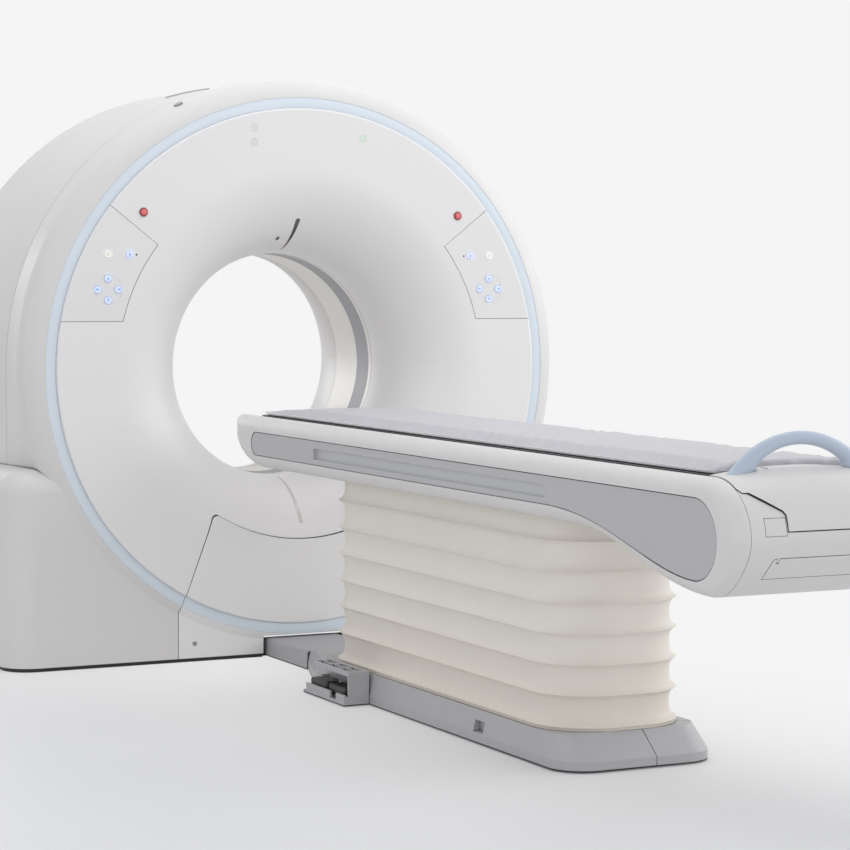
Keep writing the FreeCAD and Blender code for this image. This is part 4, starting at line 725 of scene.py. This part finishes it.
pick_up(mattress)
mattress.data.remesh_voxel_size = PAD_VOXEL
bpy.ops.object.voxel_remesh()
pad_thick = max(vertex.co.z for vertex in mattress.data.vertices) - pad_low.z
for vertex in mattress.data.vertices:
    spot = vertex.co
    along = SLANT_Y * spot.y - SLANT_X * spot.x
    across = SLANT_X * spot.y + SLANT_Y * spot.x
    towards_foot = within((WRINKLES_START - spot.y) / WRINKLES_GROW, low=0.12)
    height = (spot.z - pad_low.z) / pad_thick
    nose = within((spot.y - NOSE_START) / (pad_high.y - NOSE_START))
    thick = 1.0 - NOSE_THINNING * nose - (0.09 if spot.y > NOSE_START else 0.0)
    from_edge = within((SHOULDER_X - abs(spot.x)) / SHOULDER_WIDTH)
    thick *= 0.56 + 0.44 * from_edge * (2.0 - from_edge)
    spot.z = pad_low.z + height * thick * pad_thick
    if height > 0.6:
        drift = 0.03 * noise.noise(Vector((across * 3.0, along * 4.0, 1.0)))
        ripple = noise.noise(Vector((across * 1.6, (along + drift) * 26.0, 3.0)))
        swell = noise.noise(Vector((across * 1.0, along * 9.0, 9.0)))
        edge = min(1.0, (WRINKLE_X - abs(spot.x)) / WRINKLE_FADE)
        wrinkle = (WRINKLE * (1.0 - 2.6 * abs(ripple)) + SWELL * swell) * edge
        spot.z += (wrinkle - SINK) * towards_foot
print("pad mesh:", len(mattress.data.vertices), "points")

# %% Blow the pad up
PAD_CAP = 0.006
PAD_RISE = 0.004
PRESSURE, SHRINK = 3.0, -0.012
CLOTH_FRAMES = 16
pinned = mattress.vertex_groups.new(name="on_the_cradle")
underside = [v.index for v in mattress.data.vertices if v.co.z < pad_low.z + 0.005]
pinned.add(underside, 1.0, "ADD")
before = [vertex.co.copy() for vertex in mattress.data.vertices]
cloth = mattress.modifiers.new("cloth", "CLOTH")
cloth.settings.quality = 4
cloth.settings.use_pressure = True
cloth.settings.uniform_pressure_force = PRESSURE
cloth.settings.shrink_min = SHRINK
cloth.settings.vertex_group_mass = "on_the_cradle"
cloth.settings.effector_weights.gravity = 0.0
for count in range(CLOTH_FRAMES):
    bpy.context.scene.frame_set(count + 1)
pick_up(mattress)
bpy.ops.object.modifier_apply(modifier="cloth")
for vertex, old in zip(mattress.data.vertices, before):
    step = vertex.co - old
    if step.length > PAD_CAP:
        vertex.co = old + step.normalized() * PAD_CAP
bpy.context.scene.frame_set(1)
for vertex in mattress.data.vertices:
    vertex.co.z = min(max(vertex.co.z, pad_low.z), pad_high.z + PAD_RISE)
smooth = mattress.modifiers.new("smooth", "SMOOTH")
smooth.factor = 0.5
smooth.iterations = 2
pick_up(mattress)
bpy.ops.object.modifier_apply(modifier="smooth")
bpy.ops.object.shade_smooth()
mattress.data.materials.clear()
mattress.data.materials.append(mattress_grey)
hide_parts("mattress")
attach(mattress, "couchtop")
print("pad:", len(mattress.data.polygons), "faces")

# %% [markdown]
# ## Keys, rings and stops
# Each key carries a small printed sign and sits in a clear ring that catches its light. The signs
# are plain: an arrow for each direction with a bar under it, and a small dial on the white key. One
# arrow is drawn from a flat prism and two blocks, and the keys get turned copies of it. Signs ride
# on their own key, so that they move when it is pressed; the rings stay with the panel.

# %% Draw one arrow
UPRIGHT = (math.radians(90), 0.0, 0.0)
KEY_FACE = -0.3575
SIGN_THICK = 0.0003
DIAL_RADIUS = 0.0052


def settle(piece, name, finish):
    """Names a new piece, applies its place and gives it a finish."""
    piece.name = name
    pick_up(piece)
    bpy.ops.object.transform_apply(location=True, rotation=True, scale=True)
    piece.data.materials.clear()
    piece.data.materials.append(finish)
    print(name, len(piece.data.vertices), "points")
    return piece


def join(name, finish, pieces):
    """Joins pieces into one mesh."""
    let_go()
    for piece in pieces:
        piece.select_set(True)
    bpy.context.view_layer.objects.active = pieces[0]
    bpy.ops.object.join()
    return settle(bpy.context.object, name, finish)


def block(spot, size, turn=(0.0, 0.0, 0.0)):
    """A cube drawn out to a size."""
    bpy.ops.mesh.primitive_cube_add(size=1.0, location=spot, rotation=turn, scale=size)
    return bpy.context.object


def hoop(radius, thick, spot, turn=UPRIGHT, around=48, across=8):
    """A torus, upright and facing forwards if it isn't turned."""
    let_go()
    bpy.ops.mesh.primitive_torus_add(major_radius=radius, minor_radius=thick, major_segments=around,
                                     minor_segments=across, location=spot, rotation=turn)
    return bpy.context.object


def front_of(name, y):
    """The middle of a CAD node, seen from the front, at a depth of y."""
    low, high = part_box(name)
    return Vector((0.5 * (low.x + high.x), y, 0.5 * (low.z + high.z)))


let_go()
bpy.ops.mesh.primitive_cylinder_add(vertices=3, radius=0.0040, depth=SIGN_THICK, rotation=UPRIGHT)
head = bpy.context.object
shaft = block((0.0, 0.0, -0.0032), (0.0018, SIGN_THICK, 0.0032))
bar = block((0.0, 0.0, -0.0060), (0.0064, SIGN_THICK, 0.0013))
arrow = join("arrow_sign", glyph_blue, [head, shaft, bar])

# %% Set a sign on every key
TURNS = {"up": 0.0, "down": 180.0, "outer": 90.0, "inner": -90.0, "home": 0.0}
for side, sign in (("left", 1.0), ("right", -1.0)):
    for key, angle in TURNS.items():
        copy = arrow.copy()
        copy.data = arrow.data.copy()
        bpy.context.collection.objects.link(copy)
        copy.name = f"{side}_sign_{key}"
        place = Matrix.Translation(front_of(f"{side}_key_{key}", KEY_FACE - 0.0001))
        copy.data.transform(place @ Matrix.Rotation(math.radians(angle * sign), 4, "Y"))
        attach(copy, f"{side}_{key}")
    place = front_of(f"{side}_key_light", KEY_FACE - 0.0001)
    ring = hoop(DIAL_RADIUS, 0.0005, place, around=32, across=6)
    pointer = block(place, (0.0014, 0.0004, 0.0075), (0.0, math.radians(40), 0.0))
    dial = join(f"{side}_sign_light", glyph_grey, [ring, pointer])
    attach(dial, f"{side}_light")
bpy.data.objects.remove(arrow)

# %% Clear rings round the keys
PANEL_FACE = -0.3550
KEY_RING_RADIUS = 0.0153
for side in ("left", "right"):
    rings = [hoop(KEY_RING_RADIUS, 0.0009, front_of(f"{side}_key_{key}", PANEL_FACE))
             for key in ("up", "down", "outer", "inner", "home", "light")]
    ring = join(f"{side}_key_rings", ring_white, rings)
    bpy.ops.object.shade_smooth()
    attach(ring, "scanner")

# %% [markdown]
# The emergency stops are small mushroom buttons: a dark red rim round a paler, slightly domed cap,
# set in a white collar that fills the hole in the cover. A cylinder is drawn, and its front is
# inset and pushed out step by step.

# %% Emergency stops
STOP_RADIUS = 0.0124
STOP_LENGTH = 0.0200
STOP_MIDDLE = -0.3482
DOME = ((0.0020, -0.0008), (0.0030, -0.0006), (0.0025, -0.0002))
COLLAR_RADIUS = 0.0150


def select_faces(piece, wanted):
    """Turns to edit mode and selects the faces of a piece whose normal passes a test."""
    mode("EDIT")
    bpy.ops.mesh.select_mode(type="FACE")
    shape = bmesh.from_edit_mesh(piece.data)
    for face in shape.faces:
        face.select_set(wanted(face.normal))
    bmesh.update_edit_mesh(piece.data)


for side in ("left", "right"):
    let_go()
    bpy.ops.mesh.primitive_cylinder_add(
        vertices=48, radius=STOP_RADIUS, depth=STOP_LENGTH, end_fill_type="NGON",
        location=front_of(f"{side}_emergency_stop", STOP_MIDDLE), rotation=UPRIGHT)
    stop = settle(bpy.context.object, f"{side}_stop_button", stop_red)
    stop.data.materials.append(stop_light)
    select_faces(stop, lambda normal: normal.y < -0.9)
    bpy.ops.mesh.inset(thickness=0.0012)
    bpy.ops.transform.translate(value=(0.0, -0.0012, 0.0))
    bpy.ops.mesh.inset(thickness=0.0022)
    stop.active_material_index = 1
    bpy.ops.object.material_slot_assign()
    for thickness, push in DOME:
        bpy.ops.mesh.inset(thickness=thickness)
        bpy.ops.transform.translate(value=(0.0, push, 0.0))
    mode("OBJECT")
    bpy.ops.object.shade_smooth_by_angle(angle=math.radians(40))
    # The button stands for the CAD stop, so its place is read before it is replaced.
    place = front_of(f"{side}_emergency_stop", PANEL_FACE)
    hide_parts(f"{side}_emergency_stop")
    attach(stop, f"{side}_stop")
    collar = hoop(COLLAR_RADIUS, 0.0017, place, around=56, across=10)
    settle(collar, f"{side}_stop_collar", under_white)
    bpy.ops.object.shade_smooth()
    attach(collar, "scanner")

# %% [markdown]
# ## The inlay's dark joint
# A rubber strip closes the joint round each grey inlay; its colour is partly painted shade and
# light. It is black along the top and round the foot end, as painted shade where the joint lies in
# shadow, and a lighter grey along the bottom, as painted light where the joint is lit. Its path is
# the inlay's own outline, so the outline's edges are taken from a copy of the inlay, turned into a
# curve and given a round section.

# %% Rubber strip round the inlays
CHANNEL_Y = (-2.4320, -1.0080)
CHANNEL_Z = (0.6750, 0.7090)
STRIP_RADIUS = 0.0009


def to_cord(piece, radius, smoothness):
    """Turns the edges of the active piece into a round cord."""
    bpy.ops.object.convert(target="CURVE")
    piece.data.bevel_depth = radius
    piece.data.bevel_resolution = smoothness
    bpy.ops.object.convert(target="MESH")


rubber = new_finish(
    "joint_rubber", (52, 47, 46), (64, 58, 56), 0.6, 60.0, ("noise", 900.0, 0.0001, 0.3))
# Painted shade and light: black along the top and round the foot end, lighter grey along the
# bottom.
masked(rubber, "Z", 0.712, 0.702, paint(134, 129, 128))
masked(rubber, "Y", -2.890, -2.930, paint(58, 52, 51))
joint = nodes["side_inlays"].copy()
joint.data = nodes["side_inlays"].data.copy()
joint.animation_data_clear()
for key in list(joint.keys()):
    del joint[key]
bpy.context.collection.objects.link(joint)
pick_up(joint)
mode("EDIT")
bpy.ops.mesh.select_all(action="SELECT")
bpy.ops.mesh.remove_doubles(threshold=0.00002)
bpy.ops.mesh.select_mode(type="EDGE")
shape = bmesh.from_edit_mesh(joint.data)
outer_x = max(vertex.co.x for vertex in shape.verts)
spare = []
for edge in shape.edges:
    ends = [vertex.co for vertex in edge.verts]
    on_face = all(abs(abs(end.x) - outer_x) < 0.0001 for end in ends)
    in_channel = all(CHANNEL_Y[0] < end.y < CHANNEL_Y[1] and CHANNEL_Z[0] < end.z < CHANNEL_Z[1]
                     for end in ends)
    flat = [face for face in edge.link_faces if abs(face.normal.x) > 0.9]
    if not (on_face and not in_channel and len(flat) == 1):
        spare.append(edge)
bmesh.ops.delete(shape, geom=spare, context="EDGES_FACES")
bmesh.update_edit_mesh(joint.data)
mode("OBJECT")
print("joint outline:", len(joint.data.edges), "edges")
to_cord(joint, STRIP_RADIUS, 2)
joint.name = "inlay_joint_strip"
joint.data.materials.clear()
joint.data.materials.append(rubber)
bpy.ops.object.shade_smooth()
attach(joint, "couch")

# %% [markdown]
# ## The mattress's piping
# The pad's cover is sewn round a thin cord, which shows as a pale line half way up its edge. A flat
# rectangle above the cradle, its corners rounded, is turned into a curve and given a round section.

# %% Piping
PIPING_HALF_W = 0.1955
PIPING_HEIGHT = 0.0085
PIPING_RADIUS = 0.0013
piping_grey = new_finish(
    "mattress_piping", (214, 213, 216), (205, 204, 208), 0.5, 30.0,
    ("noise", 600.0, 0.0002, 0.3, (1.0, 0.2, 1.0)))
let_go()
bpy.ops.mesh.primitive_plane_add(size=1.0, location=(0.0, pad_mid, pad_low.z + PIPING_HEIGHT))
piping = settle(bpy.context.object, "mattress_piping", piping_grey)
mode("EDIT")
bpy.ops.transform.resize(value=(2 * PIPING_HALF_W, pad_size.y - 0.004, 1.0),
                         center_override=(0.0, pad_mid, pad_low.z))
bpy.ops.mesh.bevel(offset=0.045, segments=8, affect="VERTICES")
bpy.ops.mesh.delete(type="ONLY_FACE")
mode("OBJECT")
to_cord(piping, PIPING_RADIUS, 3)
bpy.ops.object.shade_smooth()
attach(piping, "couchtop")

# %% [markdown]
# ## Foot pedals
# Each pedal is a black rubber shell with rounded edges and a shallow hollow in its top for the sole
# of a shoe. A block is drawn at the pedal's size and its edges are bevelled. Its long edges are
# then subdivided, which lays a grid over the top, and the middle of that grid is pressed down.

# %% Foot pedals
PEDAL_HOLLOW = 0.0055
PEDAL_ROUNDING = 0.0065
for name in ("foot_pedal_down", "foot_pedal_up"):
    low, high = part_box(name)
    middle = 0.5 * (low + high)
    let_go()
    pedal = settle(block(middle, high - low), f"{name}_shell", pedal_black)
    mode("EDIT")
    bpy.ops.mesh.select_mode(type="EDGE")
    bpy.ops.mesh.select_all(action="SELECT")
    bpy.ops.mesh.bevel(offset=PEDAL_ROUNDING, segments=4)
    select_edges(pedal, lambda spot, length: length > 0.03)
    bpy.ops.mesh.subdivide(number_cuts=8)
    mode("OBJECT")
    for vertex in pedal.data.vertices:
        spot = vertex.co
        across = 2.0 * (spot.x - middle.x) / (high.x - low.x - 2 * PEDAL_ROUNDING)
        along = 2.0 * (spot.y - middle.y) / (high.y - low.y - 2 * PEDAL_ROUNDING)
        if spot.z > high.z - 0.0005 and abs(across) < 1.0 and abs(along) < 1.0:
            spot.z -= PEDAL_HOLLOW * (1.0 - across ** 2) * (1.0 - along ** 4)
    bpy.ops.object.shade_smooth_by_angle(angle=math.radians(50))
    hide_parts(name)
    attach(pedal, name.replace("foot_", ""))
    print(name, len(pedal.data.polygons), "faces")

# %% [markdown]
# ## Cords round the axis
# The gaps inside and outside the trim ring are closed by pale cords, so that no dark line shows
# there. In the bore a thin dark cord lies between the front cover and the liner, and a grey one on
# each side of the scan window. They are sunk into the wall, so that only their backs show.

# %% Trim cords and bore cords
AXIS_Z = 0.92
CORD_RELIEF = ("noise", 800.0, 0.0001, 0.2)
cord_blue = new_finish("trim_cord_blue", (206, 216, 226), (198, 210, 222), 0.45, 40.0, CORD_RELIEF)
cord_brown = new_finish("bore_cord_brown", (112, 104, 99), (98, 91, 87), 0.5, 40.0, CORD_RELIEF)
cord_grey = new_finish("window_cord_grey", (144, 144, 148), (136, 136, 140), 0.5, 40.0, CORD_RELIEF)
TRIM_RADIUS_AND_FACE = ((0.81775, -0.3464), (0.85080, -0.3456))
BORE_R = 0.3604
LINER_JOINT = -0.0698
WINDOW_EDGES = (-0.0457, 0.0457)


def axis_cords(name, finish, thick, around, runs):
    """Cords round the machine's axis, one for each radius and depth, as one smooth piece."""
    cord = join(name, finish, [hoop(radius, thick, (0.0, y, AXIS_Z), around=around)
                               for radius, y in runs])
    bpy.ops.object.shade_smooth()
    return cord


trim_cords = axis_cords("trim_cords", cord_blue, 0.0008, 240, TRIM_RADIUS_AND_FACE)
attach(trim_cords, "scanner")
for name, finish, places in (("liner_joint_cord", cord_brown, (LINER_JOINT,)),
                             ("window_edge_cords", cord_grey, WINDOW_EDGES)):
    cord = axis_cords(name, finish, 0.0009, 160, [(BORE_R, y) for y in places])
    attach(cord, "scanner")

# %% [markdown]
# ## The push handle
# The handle is a round-backed arch that swells towards its feet. A curve is laid through the middle
# of the arch, with a radius at each of its points, turned into a mesh and squeezed from front to
# back. The inner edge of each foot is drawn in until it stands upright, and its lowest points are
# set down on the end cover.

# %% Sweep the handle
handle_mid = corners_of("couch_handle")[2]
ARCH_R, ARCH_Z = 0.23927, 0.63373
GAP_R, GAP_Z = 0.17821, 0.66479
ARCH_HALF_ANGLE, ARCH_STATIONS = 52.0, 48
FOOT_IN = 0.116
HALF_DEPTH = 0.0155
SET_DOWN = 0.0002


def gap_reach(angle):
    """How far the arch's inner edge lies from its outer arc's centre, at an angle from upright."""
    offset = GAP_Z - ARCH_Z
    rise = offset * math.cos(angle)
    return rise + math.sqrt(rise ** 2 - offset ** 2 + GAP_R ** 2)


def cord_line(name, finish, spots, thickness, smoothness=2, capped=False):
    """A round cord through some points. A fourth number in a point swells the cord there."""
    line = bpy.data.curves.new(name, "CURVE")
    line.dimensions = "3D"
    run = line.splines.new("POLY")
    run.points.add(len(spots) - 1)
    for point, (x, y, z, *swell) in zip(run.points, spots):
        point.co = (x, y, z, 1.0)
        point.radius = swell[0] if swell else 1.0
    line.bevel_depth = thickness
    line.bevel_resolution = smoothness
    line.use_fill_caps = capped
    cord = bpy.data.objects.new(name, line)
    bpy.context.collection.objects.link(cord)
    pick_up(cord)
    bpy.ops.object.convert(target="MESH")
    return settle(bpy.context.object, name, finish)


stations = []
for number in range(ARCH_STATIONS + 1):
    angle = math.radians(ARCH_HALF_ANGLE) * (2.0 * number / ARCH_STATIONS - 1.0)
    inner = gap_reach(angle)
    reach = 0.5 * (ARCH_R + inner)
    x, z = reach * math.sin(angle), ARCH_Z + reach * math.cos(angle)
    stations.append((x, handle_mid, z, 0.5 * (ARCH_R - inner)))
handle = cord_line("push_handle", handle_blue, stations, 1.0, smoothness=6, capped=True)
end_cover = nodes["couchtop_end_cover"]
for vertex in handle.data.vertices:
    spot = vertex.co
    reach = math.hypot(spot.x, spot.z - ARCH_Z)
    inner = gap_reach(math.atan2(abs(spot.x), spot.z - ARCH_Z))
    half = 0.5 * (ARCH_R - inner)
    squeeze = (HALF_DEPTH + 0.12 * (half - 0.015)) / half
    spot.y = handle_mid + (spot.y - handle_mid) * squeeze
    share = within((reach - inner) / half)
    if share < 1.0 and abs(spot.x) > FOOT_IN:
        spot.x = math.copysign(FOOT_IN + (abs(spot.x) - FOOT_IN) * share, spot.x)
    hit, where, _, _ = end_cover.ray_cast((spot.x, spot.y, 1.0), (0.0, 0.0, -1.0))
    if hit and spot.z < where.z + SET_DOWN:
        spot.z = where.z + SET_DOWN
bpy.ops.object.shade_smooth_by_angle(angle=math.radians(60))
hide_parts("couch_handle")
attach(handle, "couchtop")

# %% [markdown]
# ## A painted shadow under the foot end cover
# The foot end cover runs in and out of the frame's end cap. The gap between them lies in shade, so
# a black cord is laid in it as painted shadow. It is fixed to the cap and stays there when the
# couchtop slides. Its path is the gap's outline seen from the foot end, and its depth is read from
# the cover behind each point.

# %% Painted shadow cord round the end cover's tongue
SHADOW_CORD_PATH = ((0.2085, 0.7540), (0.2035, 0.7466), (0.1900, 0.7464), (0.1225, 0.7080),
             (0.1164, 0.6998), (0.1164, 0.6636))
SHADOW_CORD_RADIUS = 0.0014
STEPS_A_SIDE = 10
# Painted shadow: a black cord stands for the shade in the gap.
shadow_cord_black = new_finish(
    "shadow_cord_black", (22, 20, 20), (34, 31, 30), 0.6, 60.0, ("noise", 900.0, 0.0001, 0.3))


outline = [(-x, z) for x, z in SHADOW_CORD_PATH] + [(x, z) for x, z in reversed(SHADOW_CORD_PATH)]
spots = []
for (x0, z0), (x1, z1) in zip(outline, outline[1:]):
    for step in range(STEPS_A_SIDE):
        share = step / STEPS_A_SIDE
        x, z = x0 + share * (x1 - x0), z0 + share * (z1 - z0)
        hit, where, _, _ = end_cover.ray_cast((x * 0.985, -3.6, z + 0.003), (0.0, 1.0, 0.0))
        if hit:
            spots.append((x, where.y, z))
shadow_cord = cord_line("end_cap_shadow_cord", shadow_cord_black, spots, SHADOW_CORD_RADIUS)
bpy.ops.object.shade_smooth()
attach(shadow_cord, "couch")

# %% [markdown]
# ## Screws and latch on top
# Two countersunk screws hold the foot end cover, and a ring latch and a narrow hand slot lie on top
# of the drum. Each screw is a short cylinder whose face is inset and sunk to a drive recess. The
# slot's edge is a fine cord that follows the drum's curve; the latch is a flat ring.

# %% Screws
fitting_dark = new_finish(
    "fitting_dark", (92, 90, 92), (80, 78, 80), 0.4, 80.0, ("noise", 900.0, 0.0001, 0.3))
SCREW_Y, SCREW_Z, SCREW_SUNK = -3.1586, 0.7919, 0.0011
SCREW_RADIUS, SCREW_LENGTH = 0.0046, 0.0030
for number, (x, tilt) in enumerate(((-0.087, (3.4, -3.4, 0.0)), (0.080, (3.4, 3.4, 0.0)))):
    let_go()
    bpy.ops.mesh.primitive_cylinder_add(
        vertices=24, radius=SCREW_RADIUS, depth=SCREW_LENGTH,
        location=(x, SCREW_Y, SCREW_Z - SCREW_SUNK), rotation=[math.radians(a) for a in tilt])
    screw = settle(bpy.context.object, f"end_cover_screw_{number + 1}", fitting_dark)
    select_faces(screw, lambda normal: normal.z > 0.9)
    bpy.ops.mesh.inset(thickness=0.0010)
    bpy.ops.mesh.inset(thickness=0.0012)
    bpy.ops.transform.translate(value=(0.0, 0.0, -0.0012))
    mode("OBJECT")
    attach(screw, "couchtop")

# %% Slot and latch on the drum
fitting_grey = new_finish(
    "drum_fitting_grey", (186, 182, 179), (176, 172, 170), 0.45, 60.0,
    ("noise", 700.0, 0.0001, 0.3))
DRUM_R = 0.913
SLOT_X, SLOT_Y = -0.272, 0.176
SLOT_LONG, SLOT_SKEW = 0.152, 0.006
SLOT_STEPS, SLOT_EDGE_RADIUS = 24, 0.0022
LATCH_SPOT, LATCH_TILT = (-0.3985, -0.285, 0.001), -25.9
LATCH_RADIUS = 0.0120


def on_drum(x, y, above=0.0):
    """A point on top of the drum, or above it."""
    return (x, y, AXIS_Z + math.sqrt(DRUM_R ** 2 - x ** 2) + above)


slot_line = [on_drum(SLOT_X + SLOT_LONG * step / SLOT_STEPS, SLOT_Y - SLOT_SKEW * step / SLOT_STEPS)
             for step in range(SLOT_STEPS + 1)]
slot_edge = cord_line("drum_slot_edge", fitting_grey, slot_line, SLOT_EDGE_RADIUS)
latch = hoop(LATCH_RADIUS, 0.0030, on_drum(*LATCH_SPOT),
             turn=(0.0, math.radians(LATCH_TILT), 0.0), around=40)
settle(latch, "drum_latch", fitting_grey)
for piece in (slot_edge, latch):
    pick_up(piece)
    bpy.ops.object.shade_smooth()
    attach(piece, "scanner")
